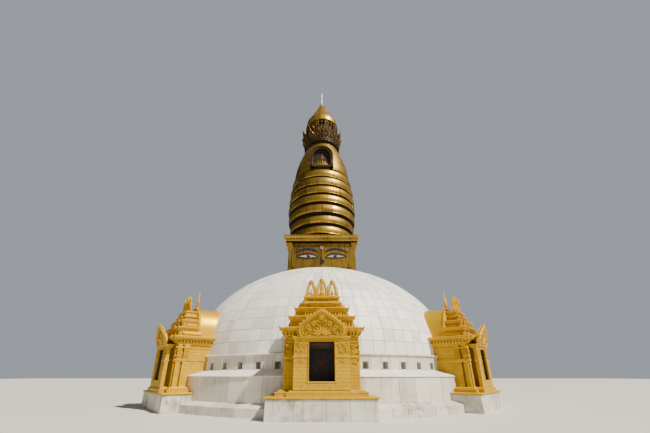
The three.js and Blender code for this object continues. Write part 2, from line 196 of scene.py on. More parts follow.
def swept(path, widths, depths=None, sides=8):
    """A tube along a path: an ellipse of that width and depth stands square to the path at each point."""
    path = np.asarray(path, float)
    along = np.gradient(path, axis=0)
    along /= np.linalg.norm(along, axis=1, keepdims=True)
    flattest = int(np.argmin(path.max(axis=0) - path.min(axis=0)))
    across = np.cross(along, np.eye(3)[flattest])
    across /= np.linalg.norm(across, axis=1, keepdims=True)
    over = np.cross(across, along)
    turn = np.linspace(0, 2 * np.pi, sides, endpoint=False)[None, :, None]
    widths = np.broadcast_to(widths, len(path))[:, None, None]
    depths = widths if depths is None else np.broadcast_to(depths, len(path))[:, None, None]
    ring = across[:, None] * np.cos(turn) * widths + over[:, None] * np.sin(turn) * depths
    return ring_stack((path[:, None] + ring)[:, ::-1])


def plate(outline, y_front, thickness, bevel=0.006):
    """A plate with an (x, z) outline, walked anticlockwise seen from the front, its front edge cut back."""
    outline = np.asarray(outline, float)
    inset = outline - bevel * outward(outline)
    return ring_stack(np.array([upright(outline, y_front + thickness), upright(outline, y_front + bevel),
                                upright(inset, y_front)]))


def slabs(corners, thickness, bevel):
    """Many slabs that face -Y, each from four corners walked anticlockwise seen from the front.

    The back is the corners moved in by the thickness, and the face is drawn in by the bevel, which is
    1.4 times as much along a corner's diagonal.
    """
    middle = corners.mean(axis=1, keepdims=True)
    reach = np.linalg.norm(corners - middle, axis=2, keepdims=True)
    face = corners + (middle - corners) * (bevel * 1.4 / reach)
    return ring_stacks(np.stack([corners + [0, thickness, 0], corners + [0, bevel, 0], face], axis=1))


# %% Shapes moved, turned and mirrored
def moved(shape, x=0.0, y=0.0, z=0.0):
    """The same shape, carried by x, y and z."""
    return (shape[0] + np.array([x, y, z]), *shape[1:])


def rotated(shape, angle):
    """The same shape, turned about the upright axis."""
    c, s = math.cos(angle), math.sin(angle)
    return (shape[0] @ np.array([[c, s, 0], [-s, c, 0], [0, 0, 1]]), *shape[1:])


def tilted(shape, angle):
    """The same shape, leaned forwards about the X axis, so that its top moves towards -Y."""
    c, s = math.cos(angle), math.sin(angle)
    return (shape[0] @ np.array([[1, 0, 0], [0, c, s], [0, -s, c]]), *shape[1:])


def mirrored(shape):
    """The same shape with left and right swapped, and its faces walked the other way to stay outward."""
    return (shape[0] * np.array([-1, 1, 1]), [table[:, ::-1] for table in shape[1]], *shape[2:])


def on_the_right(shape):
    """A shape made for the front, turned to face +X: its x becomes y."""
    return rotated(shape, math.pi / 2)


def both_sides(shapes):
    """Each shape, followed by its mirror image."""
    return [copy for shape in shapes for copy in (shape, mirrored(shape))]


def with_mirrors(shapes):
    """All the shapes, and then all their mirror images."""
    return shapes + [mirrored(shape) for shape in shapes]


def four_sides(shapes):
    """Each shape on all four sides of a square."""
    return [rotated(shape, quarter * math.pi / 2) for shape in shapes for quarter in range(4)]


def with_left(right):
    """The right half of an outline, from its foot to its point, and then its mirror image back down."""
    return np.concatenate([right, right[::-1][1:] * [-1, 1]])


# %% [markdown]
# ## Small helpers for materials
# A finish is a node graph: noise and lines that say where a surface is darker, dustier or more
# worn. The helpers below keep each material short. Patterns read Object coordinates, because
# every piece has its place in its own mesh, so one pattern runs over all the pieces of the
# building without a seam.

# %% Node helpers
def add_node(tree, kind, inputs=None, **settings):
    """A node with its settings, and inputs given as values or as other nodes' sockets."""
    node = tree.nodes.new(kind)
    for key, value in settings.items():
        setattr(node, key, value)
    for key, value in (inputs or {}).items():
        if isinstance(value, bpy.types.NodeSocket):
            tree.links.new(value, node.inputs[key])
        else:
            node.inputs[key].default_value = value
    return node


def maths(tree, operation, *values):
    """One arithmetic step, as a socket."""
    return add_node(tree, "ShaderNodeMath", dict(enumerate(values)), operation=operation).outputs[0]


def blend_colours(tree, factor, first, second, mode="MIX"):
    """Two colours mixed by a factor, as a socket."""
    settings = {"data_type": "RGBA", "blend_type": mode, "clamp_factor": True}
    return add_node(tree, "ShaderNodeMix", {0: factor, 6: first, 7: second}, **settings).outputs[2]


def step_up(tree, value, low, high):
    """Zero under low, one over high, and a smooth rise between."""
    inputs = {0: value, 1: low, 2: high}
    return add_node(tree, "ShaderNodeMapRange", inputs, interpolation_type="SMOOTHSTEP").outputs[0]


def stretched(tree, value, low, high):
    """A value between 0 and 1, stretched to run from low to high."""
    return add_node(tree, "ShaderNodeMapRange", {0: value, 3: low, 4: high}).outputs[0]


def tone_of(tree, low, high):
    """The mesh's tone attribute, from low to high."""
    tone = add_node(tree, "ShaderNodeAttribute", attribute_name="tone").outputs["Fac"]
    return stretched(tree, tone, low, high)


def rgb(red, green, blue):
    """A colour with full alpha."""
    return (red, green, blue, 1.0)


# %% [markdown]
# ## Effects that several finishes share
# Rain leaves the same marks on every part of the building: soft vertical runs, blotches of
# growth, and a fine grain in the stone. Each effect is a node group, built once. The runs are
# noise that is narrow around the building and long down it: the angle about the middle is
# stretched a lot and the height only a little.

# %% Rain runs, blotches and grain
def new_group(name, output, **inputs):
    """A node group of number sockets: itself, its inputs, its Object coordinates, and its output."""
    group = bpy.data.node_groups.new(name, "ShaderNodeTree")
    sockets = group.interface
    for label, value in inputs.items():
        sockets.new_socket(name=label, in_out="INPUT", socket_type="NodeSocketFloat").default_value = value
    sockets.new_socket(name=output, in_out="OUTPUT", socket_type="NodeSocketFloat")
    place = add_node(group, "ShaderNodeTexCoord").outputs["Object"]
    return (group, group.nodes.new("NodeGroupInput").outputs, place,
            group.nodes.new("NodeGroupOutput").inputs[output])


def noise(tree, place, scale, detail, roughness=0.5):
    """Layered noise over a place, as a socket."""
    inputs = {"Vector": place, "Scale": scale, "Detail": detail, "Roughness": roughness}
    return add_node(tree, "ShaderNodeTexNoise", inputs).outputs["Fac"]


def build_runs():
    """A mask of vertical runs: noise over (angle about the axis times Count, height times Drop)."""
    group, given, place, result = new_group("rain_runs", "Mask", Count=60.0, Drop=0.25, Low=0.5, High=0.7)
    x, y, z = add_node(group, "ShaderNodeSeparateXYZ", {0: place}).outputs
    sideways = maths(group, "MULTIPLY", maths(group, "ARCTAN2", x, y), given["Count"])
    down = maths(group, "MULTIPLY", z, given["Drop"])
    where = add_node(group, "ShaderNodeCombineXYZ", {0: sideways, 1: down, 2: 3.0}).outputs[0]
    mask = step_up(group, noise(group, where, 1.0, 4.0, 0.6), given["Low"], given["High"])
    group.links.new(mask, result)
    return group


def build_blotches():
    """A mask of soft patches: layered noise in space, cut between a low and a high value."""
    group, given, place, result = new_group("blotches", "Mask", Scale=1.0, Low=0.5, High=0.7)
    mask = step_up(group, noise(group, place, given["Scale"], 6.0, 0.62), given["Low"], given["High"])
    group.links.new(mask, result)
    return group


def build_grain():
    """A height for bumps: fine noise laid over coarse noise, both in space."""
    group, given, place, result = new_group("grain", "Height", Fine=60.0, Coarse=4.0, Share=0.5)
    fine, coarse = noise(group, place, given["Fine"], 3.0), noise(group, place, given["Coarse"], 3.0)
    height = add_node(group, "ShaderNodeMix", {0: given["Share"], 2: coarse, 3: fine})
    group.links.new(height.outputs[0], result)
    return group


RUNS, BLOTCHES, GRAIN = build_runs(), build_blotches(), build_grain()
print("node groups:", [group.name for group in (RUNS, BLOTCHES, GRAIN)])


# %% A material's start and end
# This script's own materials, by name: some materials in the frame have the same names.
FINISHES = {}


def effect(tree, group, amount=None, **values):
    """A shared effect with this material's own values, times the amount where one is given."""
    node = add_node(tree, "ShaderNodeGroup", node_tree=group)
    for key, value in values.items():
        node.inputs[key].default_value = value
    return node.outputs[0] if amount is None else maths(tree, "MULTIPLY", node.outputs[0], amount)


def new_material(name, metallic, roughness, shine=0.5):
    """An empty finish: its tree and its main shader. shine is the white gloss over the colour."""
    material = FINISHES[name] = bpy.data.materials.new(name)
    material.use_nodes = True
    shader = material.node_tree.nodes["Principled BSDF"]
    shader.inputs["Metallic"].default_value = metallic
    shader.inputs["Roughness"].default_value = roughness
    shader.inputs["Specular IOR Level"].default_value = shine
    return material.node_tree, shader


def dress(tree, shader, colour, roughness, relief, **grain):
    """Links a colour and a roughness to the shader, and grain as a bump of so many metres of relief."""
    height = effect(tree, GRAIN, **grain)
    normal = add_node(tree, "ShaderNodeBump", {"Height": height, "Distance": relief}).outputs["Normal"]
    for name, socket in (("Base Color", colour), ("Roughness", roughness), ("Normal", normal)):
        tree.links.new(socket, shader.inputs[name])


# %% [markdown]
# ## Stone
# The dome and plinths are clad in white marble, the drum in a greyer stone. Slab by slab the
# stone differs a little, so the base colour is scaled by each slab's own tone. Then come grey
# veins, the rain's runs, and a dark growth where water stands longest. All the stones and the
# mortar are one function with other numbers, because they are like materials at different ages.

# %% Marble, grey stone and mortar
STONE_ROUGHNESS, VEINS = 0.55, 0.55


def stone(name, pale, grey, stain, spread=0.16, runs=0.45, growth=0.35, count=70.0, reach=0.56, mottle=9.0):
    """Slab colour = pale to grey by veins, scaled by the slab's brightness, then darkened by runs and stain.

    The brightness is one plus the spread times a mix of the centred tone and its cube, so that most slabs
    are alike and a few stand out.
    """
    tree, shader = new_material(name, 0.0, STONE_ROUGHNESS)
    veins = effect(tree, BLOTCHES, Scale=1.7, Low=0.42, High=0.72)
    base = blend_colours(tree, maths(tree, "MULTIPLY", veins, VEINS), rgb(*pale), rgb(*grey))
    centred = tone_of(tree, -1.0, 1.0)
    cubed = maths(tree, "MULTIPLY", centred, maths(tree, "MULTIPLY", centred, centred))
    uneven = maths(tree, "MULTIPLY_ADD", centred, 0.4, maths(tree, "MULTIPLY", cubed, 0.6))
    tone = maths(tree, "MULTIPLY_ADD", uneven, spread, 1.0 - spread * 0.4)
    tone_colour = add_node(tree, "ShaderNodeCombineColor", {0: tone, 1: tone, 2: tone}).outputs[0]
    toned = blend_colours(tree, 1.0, base, tone_colour, "MULTIPLY")
    wet = effect(tree, RUNS, runs, Count=count, Drop=0.3, Low=0.5, High=0.74)
    streaked = blend_colours(tree, wet, toned, rgb(*(channel * 0.5 for channel in grey)))
    patches = maths(tree, "MULTIPLY", effect(tree, BLOTCHES, Scale=0.55, Low=reach, High=reach + 0.18),
                    effect(tree, BLOTCHES, Scale=mottle, Low=0.35, High=0.6))
    stained = blend_colours(tree, maths(tree, "MULTIPLY", patches, growth), streaked, rgb(*stain))
    rough = stretched(tree, veins, STONE_ROUGHNESS - 0.08, STONE_ROUGHNESS + 0.15)
    dress(tree, shader, stained, rough, 0.006, Fine=45.0, Coarse=5.0, Share=0.4)


stone("dome_marble", (0.91, 0.88, 0.825), (0.78, 0.75, 0.7), (0.32, 0.29, 0.23),
      runs=0.2, growth=0.3, count=42.0)
stone("coping_stone", (0.89, 0.865, 0.81), (0.7, 0.67, 0.61), (0.28, 0.25, 0.18), spread=0.12, runs=0.2)
stone("drum_stone", (0.74, 0.685, 0.585), (0.57, 0.52, 0.44), (0.22, 0.19, 0.14),
      spread=0.18, runs=0.3, growth=0.4, count=60.0)
stone("step_stone", (0.76, 0.72, 0.65), (0.54, 0.5, 0.44), (0.24, 0.21, 0.155),
      spread=0.22, runs=0.4, growth=0.8, count=60.0, reach=0.47, mottle=5.0)
stone("plinth_marble", (0.67, 0.655, 0.585), (0.37, 0.365, 0.3), (0.26, 0.24, 0.135),
      spread=0.1, runs=0.55, growth=0.95, count=60.0, reach=0.44, mottle=4.0)
stone("joint_mortar", (0.26, 0.24, 0.21), (0.18, 0.17, 0.15), (0.08, 0.08, 0.06))
stone("niche_stone", (0.6, 0.56, 0.5), (0.48, 0.45, 0.4), (0.18, 0.16, 0.12))
stone("dome_mortar", (0.25, 0.235, 0.205), (0.18, 0.17, 0.15), (0.1, 0.09, 0.07))
print("finishes so far:", *FINISHES)

# %% [markdown]
# ## Gilding, paint and old copper
# The cube and spire are clad in gilded copper sheet. Rain takes the gold off the edges first and
# leaves brown copper, and candle soot and dust settle in the hollows. So the finish goes from
# bright to dull by the sheet's own tone, and then dark runs and spots lie over it. The shrines
# are coarser: gold paint on masonry, with less shine and more dust.

# %% Gilded sheet, gold paint and dark copper
def gilding(name, bright, dull, dark, metallic, roughness, runs=0.5, count=60.0, spots=0.4, scale=1.2,
            relief=0.004, patchwork=0.6, shine=0.5):
    """Sheet colour = bright to dull by tone and blotches, then dark runs of rain and small dark spots.

    The patchwork is how far one sheet may differ from the next.
    """
    tree, shader = new_material(name, metallic, roughness, shine)
    uneven = maths(tree, "MULTIPLY", tone_of(tree, 0.0, 0.75), patchwork)
    wear = effect(tree, BLOTCHES, Scale=scale, Low=0.4, High=0.72)
    worn = maths(tree, "MULTIPLY_ADD", wear, 0.45, uneven)
    base = blend_colours(tree, worn, rgb(*bright), rgb(*dull))
    wet = effect(tree, RUNS, runs, Count=count, Drop=0.5, Low=0.5, High=0.72)
    streaked = blend_colours(tree, wet, base, rgb(*dark))
    small = effect(tree, BLOTCHES, spots, Scale=scale * 6, Low=0.55, High=0.75)
    spotted = blend_colours(tree, small, streaked, rgb(*dark))
    rough = stretched(tree, worn, roughness - 0.06, roughness + 0.18)
    dress(tree, shader, spotted, rough, relief, Fine=26.0, Coarse=3.0, Share=0.35)


gilding("shrine_paint", (0.61, 0.36, 0.01), (0.47, 0.265, 0.008), (0.22, 0.1, 0.005), 0.15, 0.5,
        runs=0.25, count=140.0, spots=0.3, scale=2.0, relief=0.003, shine=0.25)
# shrine_shade is shrine_paint made darker and browner, a shaded copy laid in recesses, joints, grooves and
# behind carving as painted shade.
gilding("shrine_shade", (0.42, 0.23, 0.007), (0.31, 0.16, 0.005), (0.13, 0.06, 0.004), 0.15, 0.6,
        runs=0.3, count=140.0, scale=3.0, relief=0.003, shine=0.2)
gilding("gilt_trim", (0.76, 0.46, 0.015), (0.56, 0.315, 0.012), (0.22, 0.1, 0.008), 0.5, 0.4,
        runs=0.2, count=140.0, spots=0.3, scale=3.0, shine=0.3)
gilding("harmika_gilding", (0.3, 0.185, 0.02), (0.1, 0.057, 0.008), (0.025, 0.013, 0.005), 0.6, 0.38,
        runs=0.95, count=26.0, spots=0.5, patchwork=1.0, shine=0.3)
gilding("spire_gilding", (0.52, 0.325, 0.048), (0.15, 0.083, 0.012), (0.025, 0.013, 0.006), 0.88, 0.36,
        runs=0.65, count=34.0, spots=0.35, patchwork=1.0)
gilding("crown_gilding", (0.32, 0.195, 0.03), (0.1, 0.058, 0.011), (0.02, 0.012, 0.006), 0.8, 0.42,
        count=30.0, spots=0.5, patchwork=1.0)
gilding("old_copper", (0.055, 0.034, 0.016), (0.028, 0.018, 0.01), (0.01, 0.007, 0.005), 0.5, 0.5,
        runs=0.4, count=30.0, spots=0.5, shine=0.2)
gilding("mast_metal", (0.62, 0.62, 0.55), (0.45, 0.43, 0.34), (0.2, 0.17, 0.1), 0.8, 0.3,
        runs=0.2, count=10.0, spots=0.2)
gilding("shadow_gap", (0.03, 0.019, 0.01), (0.02, 0.013, 0.008), (0.01, 0.007, 0.005), 0.1, 0.8, shine=0.1)
# The doorway's lining finish: near-black, as painted shade inside the opening.
gilding("door_painted_shade", (0.065, 0.05, 0.045), (0.045, 0.036, 0.033), (0.02, 0.016, 0.016), 0.0, 0.7, shine=0.2)
print("finishes so far:", *FINISHES)

# %% [markdown]
# ## The drum
# Masons lay a round wall as a ring of flat slabs, all of one size, on a rough core. Each slab
# here is a short piece of a ring: one profile in radius and height, carried from one angle to
# the next, with its ends cut back so that a joint shows. A dark, smooth core stands 15 to 20 mm
# behind the faces and is what is seen down in the joints. Angles are measured from the front shrine
# round towards +X, because the shrines and niches are spaced from there.

# %% Pieces of a ring
def ring_prisms(profile, starts, ends, joint=0.008, bevel=0.006, steps=2, wander=0.0):
    """One closed block for each pair of angles: the profile stands at several angles between them.

    A point is (radius * sin a, -radius * cos a, z). The outer two profiles are drawn in by the bevel,
    and each block's radius wanders a little at random.
    """
    profile = np.asarray(profile, float)
    inset = profile - bevel * outward(profile)
    reach = profile[:, 0].max()
    low, high = starts + joint / reach, ends - joint / reach
    inner = np.linspace(0, 1, steps)
    middle = (low + bevel / reach)[:, None] + (high - low - 2 * bevel / reach)[:, None] * inner
    angles = np.concatenate([low[:, None], middle, high[:, None]], axis=1)[:, :, None]
    rows = np.stack([inset, *[profile] * steps, inset])[None]
    radius = rows[..., 0] + rng.uniform(-wander, wander, len(starts))[:, None, None]
    x, y = radius * np.sin(angles), -radius * np.cos(angles)
    z = np.broadcast_to(rows[..., 1], x.shape)
    return ring_stacks(np.stack([x, y, z], axis=-1)[:, :, ::-1])


def around(count, turn=0.0):
    """Start and end angles of that many equal pieces, all the way round, from this turn on."""
    edges = np.linspace(0, 2 * np.pi, count + 1)
    return edges[:-1] + turn, edges[1:] + turn


def ring_profile(r0, r1, z0, z1, cut=0.012):
    """A slab standing on edge: from radius r0 to r1, with its outer edges cut off."""
    return [(r0, z0), (r1 - cut, z0), (r1, z0 + cut), (r1, z1 - cut), (r1 - cut, z1), (r0, z1)]


def add_ring(name, profile, count, wander, finish, node):
    """A ring of equal slabs as one piece, in the place of one node."""
    add_piece(name, [ring_prisms(profile, *around(count), wander=wander)], finish, [node])


# %% Base step, lower wall and coping
STEP_R, WALL_R, BAND_R, CAP_R = 11.0, 10.45, 9.6, 9.7
STEP_TOP, WALL_TOP, COPING_TOP, BAND_TOP, CAP_TOP = 0.52, 1.62, 1.93, 2.64, 2.72
STEP_BACK, CORE_R, COPING_BACK = 10.35, 10.43, 9.45

add_ring("base_step_slabs",
         [(STEP_BACK, 0.0), (STEP_R - 0.01, 0.0), (STEP_R, 0.01), (STEP_R, 0.365), (STEP_R - 0.02, 0.385),
          (WALL_R, STEP_TOP), (STEP_BACK, STEP_TOP)],
         90, 0.002, "step_stone", "base_step")
add_ring("lower_wall_slabs", ring_profile(10.38, WALL_R, STEP_TOP, WALL_TOP),
         72, 0.003, "drum_stone", "lower_drum")
core = turned([(10.3, 0.0), (CORE_R, 0.002), (CORE_R, WALL_TOP), (9.55, 1.9), (9.4, 1.9)], 144)
add_piece("lower_wall_core", [core], "joint_mortar")
add_ring("coping_slabs",
         [(COPING_BACK, WALL_TOP), (10.49, WALL_TOP), (10.5, WALL_TOP + 0.008), (10.5, 1.65), (10.485, 1.664),
          (BAND_R + 0.02, COPING_TOP), (COPING_BACK, COPING_TOP)],
         72, 0.003, "coping_stone", "drum_coping")

# %% [markdown]
# ## The lamp niches
# In the upper wall, every second slab in the middle of a bay holds a small square hole for a
# butter lamp. A slab with a hole can't be one block, so the mason sets two narrow jambs, a sill
# and a lintel round it. Behind them the core is cut the same way, in a darker stone.

# %% Upper wall with its niches
BAY_SLABS = 16
SLAB = 2 * np.pi / (SHRINES * BAY_SLABS)
NICHE_SLABS = [4, 6, 8, 10, 12]
NICHE_HALF = 0.15 / BAND_R
NICHE_FOOT, NICHE_HEAD = COPING_TOP + 0.04, COPING_TOP + 0.38
NICHE_BACK, CORE_INSIDE = 9.16, 9.0
slab_numbers = np.arange(SHRINES * BAY_SLABS)
holds_niche = np.isin(slab_numbers % BAY_SLABS, NICHE_SLABS)
starts, ends = (slab_numbers - 0.5) * SLAB, (slab_numbers + 0.5) * SLAB
NICHES = slab_numbers[holds_niche] * SLAB


def band_pieces(r0, r1, jamb, cut, joint):
    """The upper wall between two radii: plain sectors, and jambs, sill and lintel at each niche."""
    side = ring_profile(r0, r1, COPING_TOP, BAND_TOP, cut)
    sill = ring_profile(r0, r1, COPING_TOP, NICHE_FOOT, cut / 2)
    lintel = ring_profile(r0, r1, NICHE_HEAD, BAND_TOP, cut)
    left, right = NICHES - jamb, NICHES + jamb
    return [ring_prisms(side, starts[~holds_niche], ends[~holds_niche], joint, wander=0.002),
            ring_prisms(side, NICHES - SLAB / 2, left, joint),
            ring_prisms(side, right, NICHES + SLAB / 2, joint),
            ring_prisms(sill, left, right, 0.001, 0.003), ring_prisms(lintel, left, right, 0.001, 0.003)]


add_piece("upper_wall_slabs", band_pieces(9.53, BAND_R, NICHE_HALF, 0.01, 0.008), "drum_stone",
          replaces=[f"lamp_band_{number}" for number in range(1, SHRINES + 1)])
# The core behind the niches and joints of the upper wall, in a darker stone than the wall.
niche_backing = band_pieces(9.15, 9.585, NICHE_HALF * 1.03, 0.004, 0.0)
niche_backing.append(turned([(CORE_INSIDE, COPING_TOP), (NICHE_BACK, COPING_TOP + 0.001), (NICHE_BACK, BAND_TOP),
                    (CORE_INSIDE, BAND_TOP + 0.001)], 180))
add_piece("niche_core", niche_backing, "niche_stone", ["upper_drum_core"])
add_ring("cap_slabs",
         [(9.4, BAND_TOP), (CAP_R - 0.008, BAND_TOP), (CAP_R, BAND_TOP + 0.008), (CAP_R, 2.68), (9.69, 2.69),
          (9.5, CAP_TOP), (9.4, CAP_TOP)],
         90, 0.002, "coping_stone", "drum_cap")

# %% [markdown]
# ## The dome
# The dome is half an ellipse turned about the spire. Its marble slabs lie in courses, 0.62 m high
# at the foot and a little higher above. The upright joints run on from course to course, and where
# the slabs would get too narrow, a course starts with fewer. Equal steps of angle would make the
# courses shrink towards the foot, so the curve is measured first and then cut by length.

# %% Marble courses on an ellipse
DOME_R, DOME_H = 9.5, 7.0
DOME_GAP, SLAB_DEPTH, CORE_DEPTH = 0.011, 0.05, 0.016
COURSES, COURSE_HEIGHT, COURSE_GROWTH = 15, 0.62, 0.014
LOW_SLABS, MIDDLE_SLABS, TOP_SLABS = 90, 60, 36
MIDDLE_FROM, TOP_FROM = 5.4, 8.4


def on_ellipse(turn):
    """The dome's radius and height at an angle of its ellipse, from 0 at the foot to a quarter at the top."""
    return np.stack([DOME_R * np.cos(turn), CAP_TOP + DOME_H * np.sin(turn)], axis=-1)


def dome_point(lengths, lift=0.0):
    """Radius and height at these lengths along the ellipse from its foot, moved outwards by lift."""
    turn = np.linspace(0, np.pi / 2, 2000)
    walked = np.concatenate([[0], np.cumsum(np.linalg.norm(np.diff(on_ellipse(turn), axis=0), axis=1))])
    at = np.interp(lengths, walked, turn)
    normal = np.stack([np.cos(at) / DOME_R, np.sin(at) / DOME_H], axis=-1)
    normal /= np.linalg.norm(normal, axis=-1, keepdims=True)
    return on_ellipse(at) + lift * normal


course_edges = np.concatenate([[0], np.cumsum(COURSE_HEIGHT + COURSE_GROWTH * np.arange(COURSES))])
dome_slabs = []
for low, high in zip(course_edges[:-1], course_edges[1:]):
    count = LOW_SLABS if low < MIDDLE_FROM else MIDDLE_SLABS if low < TOP_FROM else TOP_SLABS
    foot, head = low + DOME_GAP, high - DOME_GAP
    face = dome_point(np.array([foot, (low + high) / 2, head]))
    back = dome_point(np.array([foot, head]), -SLAB_DEPTH)
    profile = np.concatenate([back[:1], face, back[1:]])
    dome_slabs.append(ring_prisms(profile, *around(count), DOME_GAP, 0.005, 3, 0.002))
add_piece("dome_slabs", dome_slabs, "dome_marble", replaces=["dome"])
shell = [(9.2, CAP_TOP - 0.02), *dome_point(np.linspace(0, 12.6, 64), -CORE_DEPTH)]
add_piece("dome_core", [turned(shell, 180)], "dome_mortar", smooth=30)

# %% [markdown]
# ## The gilded cube
# The harmika is a square box of gilded sheet on a timber frame. Its middle panels stand proud
# and its corner posts sweep outwards under the cornice. A square moulding is a stack of
# squares, so one profile of half width and height gives the whole carcass. The sheets are then
# laid on as separate slabs, each corner a few millimetres from true, because hand-beaten sheets
# never lie perfectly flat.

# %% Carcass, sheets and cornice
def square_stack(profile):
    """A moulding on a square plan, given as half widths and heights."""
    return moulded(rectangle(-1, 1, -1, 1), [(half - 1, z) for half, z in profile])


def sheet_grid(x_edges, z_edges, y, joint=0.007, bevel=0.006, buckle=0.002):
    """Upright sheets in a grid, in the plane y, each corner pushed in a little at random."""
    x0, z0 = np.meshgrid(x_edges[:-1], z_edges[:-1], indexing="ij")
    x1, z1 = np.meshgrid(x_edges[1:], z_edges[1:], indexing="ij")
    x = np.stack([x0 + joint, x1 - joint, x1 - joint, x0 + joint], axis=-1).reshape(-1, 4)
    z = np.stack([z0 + joint, z0 + joint, z1 - joint, z1 - joint], axis=-1).reshape(-1, 4)
    return slabs(np.stack([x, y + rng.uniform(0, buckle, x.shape), z], axis=-1), 0.03, bevel)


CUBE_FOOT, CUBE_HEAD, PANEL, POST, PANEL_Y, PANEL_BACK = 9.1, 11.56, 2.35, 2.36, -2.72, -2.5
flare = np.linspace(0, 1, 9)[1:]
corner_profile = [(2.6, CUBE_FOOT), (2.66, 10.9)] + [(2.66 + 0.22 * f * f, 10.9 + 0.66 * f) for f in flare]
carcass = [square_stack([(2.57, CUBE_FOOT), (2.62, 10.9), (2.62, CUBE_HEAD), (2.45, 11.57)]),
           square_stack([(2.7, CUBE_FOOT), (2.72, 9.12), (2.72, 9.36), (2.69, 9.4), (2.69, 9.44),
                         (2.4, 9.45)])]
sheets = sheet_grid(np.linspace(-2.33, 2.33, 7), np.array([9.47, 11.54]), -2.7,
                    joint=0.006, bevel=0.008, buckle=0.006)
post = ring_stack(np.array([[(POST, -half, z), (half, -half, z), (half, -POST, z), (POST, -POST, z)]
                            for half, z in corner_profile]))
frame_strips = [box((x0, PANEL_Y, z0), (x1, PANEL_BACK, z1))
                for x0, x1, z0, z1 in ((-PANEL, PANEL, 9.45, 9.53), (-PANEL, PANEL, 11.46, CUBE_HEAD),
                                       (-PANEL, -2.25, 9.45, CUBE_HEAD), (2.25, PANEL, 9.45, CUBE_HEAD))]
add_piece("harmika_sheets", carcass + four_sides([sheets, post, *frame_strips]), "harmika_gilding",
          replaces=["harmika_body"])
neck = square_stack([(2.3, 9.3), (2.5, 9.31), (2.5, 11.655), (2.87, 11.66), (2.87, 11.69), (2.3, 11.72)])
add_piece("harmika_neck", [neck], "shadow_gap")

bead = [(2.9 + 0.07 * math.cos(t), 11.76 + 0.06 * math.sin(t))
        for t in np.linspace(-np.pi / 2, np.pi / 2, 9)]
band = [(2.86, 11.8), (2.9, 11.83), (2.905, 11.9), (2.93, 12.0), (2.99, 12.08), (3.05, 12.11),
        (3.09, 12.12), (3.09, 12.17), (3.07, 12.18), (2.6, 12.2)]
dentils = [box((x - 0.05, -2.965, 11.86), (x + 0.05, -2.88, 11.97), 0.008)
           for x in np.arange(-2.7, 2.71, 0.225)]
add_piece("harmika_cornice_bands", [square_stack([(2.4, 11.7), *bead, (2.4, 11.82)]),
                                    square_stack([(2.4, 11.79), *band]), *four_sides(dentils)],
          "spire_gilding", ["harmika_cornice"])
add_piece("harmika_top", [square_stack([(2.5, 12.17), (2.92, 12.18), (2.86, 12.28), (2.4, 12.3)])],
          "harmika_gilding", replaces=["harmika_roof"])

# %% [markdown]
# ## The watching eyes
# Each side of the cube carries the traditional calm pair of eyes: long lids under arched brows,
# a curl where a nose would be, and a small round mark above. They are painted on sheet, so here
# they are thin enamelled pieces two centimetres proud. Every line is a flattened tube along a
# curve, thick in the middle and thin at its ends, as a brush stroke is.

# %% Old enamel and paint
def paint(name, colour):
    """Old enamel: one colour, worn paler in patches."""
    tree, shader = new_material(name, 0.0, 0.4, 0.25)
    worn = effect(tree, BLOTCHES, 0.35, Scale=5.0, Low=0.45, High=0.7)
    faded = tuple(0.7 * channel + 0.04 for channel in colour)
    tree.links.new(blend_colours(tree, worn, rgb(*colour), rgb(*faded)), shader.inputs["Base Color"])


for label, colour in (("enamel_dark", (0.014, 0.013, 0.018)), ("enamel_white", (0.34, 0.29, 0.235)),
                      ("enamel_blue", (0.016, 0.026, 0.06)), ("enamel_red", (0.3, 0.025, 0.02)),
                      ("door_red", (0.13, 0.028, 0.014)), ("door_blue", (0.035, 0.055, 0.1))):
    paint(label, colour)
print("finishes:", len(FINISHES))


# %% Brush strokes and discs
def curve_through(points, count=40):
    """A smooth line through a few points: a Catmull-Rom curve sampled at equal steps."""
    points = np.asarray(points, float)
    ends = np.concatenate([[2 * points[0] - points[1]], points, [2 * points[-1] - points[-2]]])
    at = np.linspace(0, len(points) - 1 - 1e-9, count)
    k = at.astype(int)
    t = (at - k)[:, None]
    a, b, c, d = ends[k], ends[k + 1], ends[k + 2], ends[k + 3]
    return 0.5 * (2 * b + (c - a) * t + (2 * a - 5 * b + 4 * c - d) * t**2 + (3 * b - a - 3 * c + d) * t**3)


def stroke(points, width, y, depth=0.014, count=40, taper=0.75, sides=8):
    """A brush stroke in the plane y: a flattened tube, full in the middle and thin towards its ends."""
    swell = 1 - taper * np.abs(np.linspace(-1, 1, count)) ** 2.5
    return swept(upright(curve_through(points, count), y), width / 2 * swell, depth, sides)


def disc(x, z, radius, y, thickness=0.02, sides=32, squash=1.0):
    """A round plate facing forwards."""
    turn = np.linspace(0, 2 * np.pi, sides, endpoint=False)
    outline = np.stack([x + radius * np.cos(turn), z + radius * squash * np.sin(turn)], axis=1)
    return plate(outline, y, thickness)


# %% Lids, irises, marks and curl
FACE, MARK_Z = -2.722, 11.2
INNER, OUTER, IRIS = (0.3, 10.36), (2.02, 10.44), (1.06, 10.475)
upper_lid = [INNER, (0.62, 10.56), (1.05, 10.66), (1.5, 10.58), OUTER]
lower_lid = [INNER, (0.62, 10.33), (1.05, 10.3), (1.5, 10.34), OUTER]
almond = np.concatenate([curve_through(lower_lid, 24), curve_through(upper_lid, 24)[::-1][1:-1]])
brow = [(0.24, 10.8), (0.55, 10.98), (1.05, 11.08), (1.6, 11.0), (2.12, 10.78)]
crease = [(0.36, 10.44), (0.66, 10.65), (1.05, 10.755), (1.5, 10.69), (2.0, 10.53)]
curl = [(0.02 + (0.05 + 0.013 * t) * math.cos(t - 1.2), 9.98 + (0.05 + 0.013 * t) * math.sin(t - 1.2))
        for t in np.linspace(0, 2.6 * np.pi, 9)]
dark = with_mirrors([stroke(brow, 0.19, FACE, taper=0.85), stroke(upper_lid, 0.16, FACE - 0.012),
                     stroke(lower_lid, 0.07, FACE - 0.012)])
curl = [(-0.03, 10.46), (-0.07, 10.3), (-0.04, 10.18), *curl[::-1]]
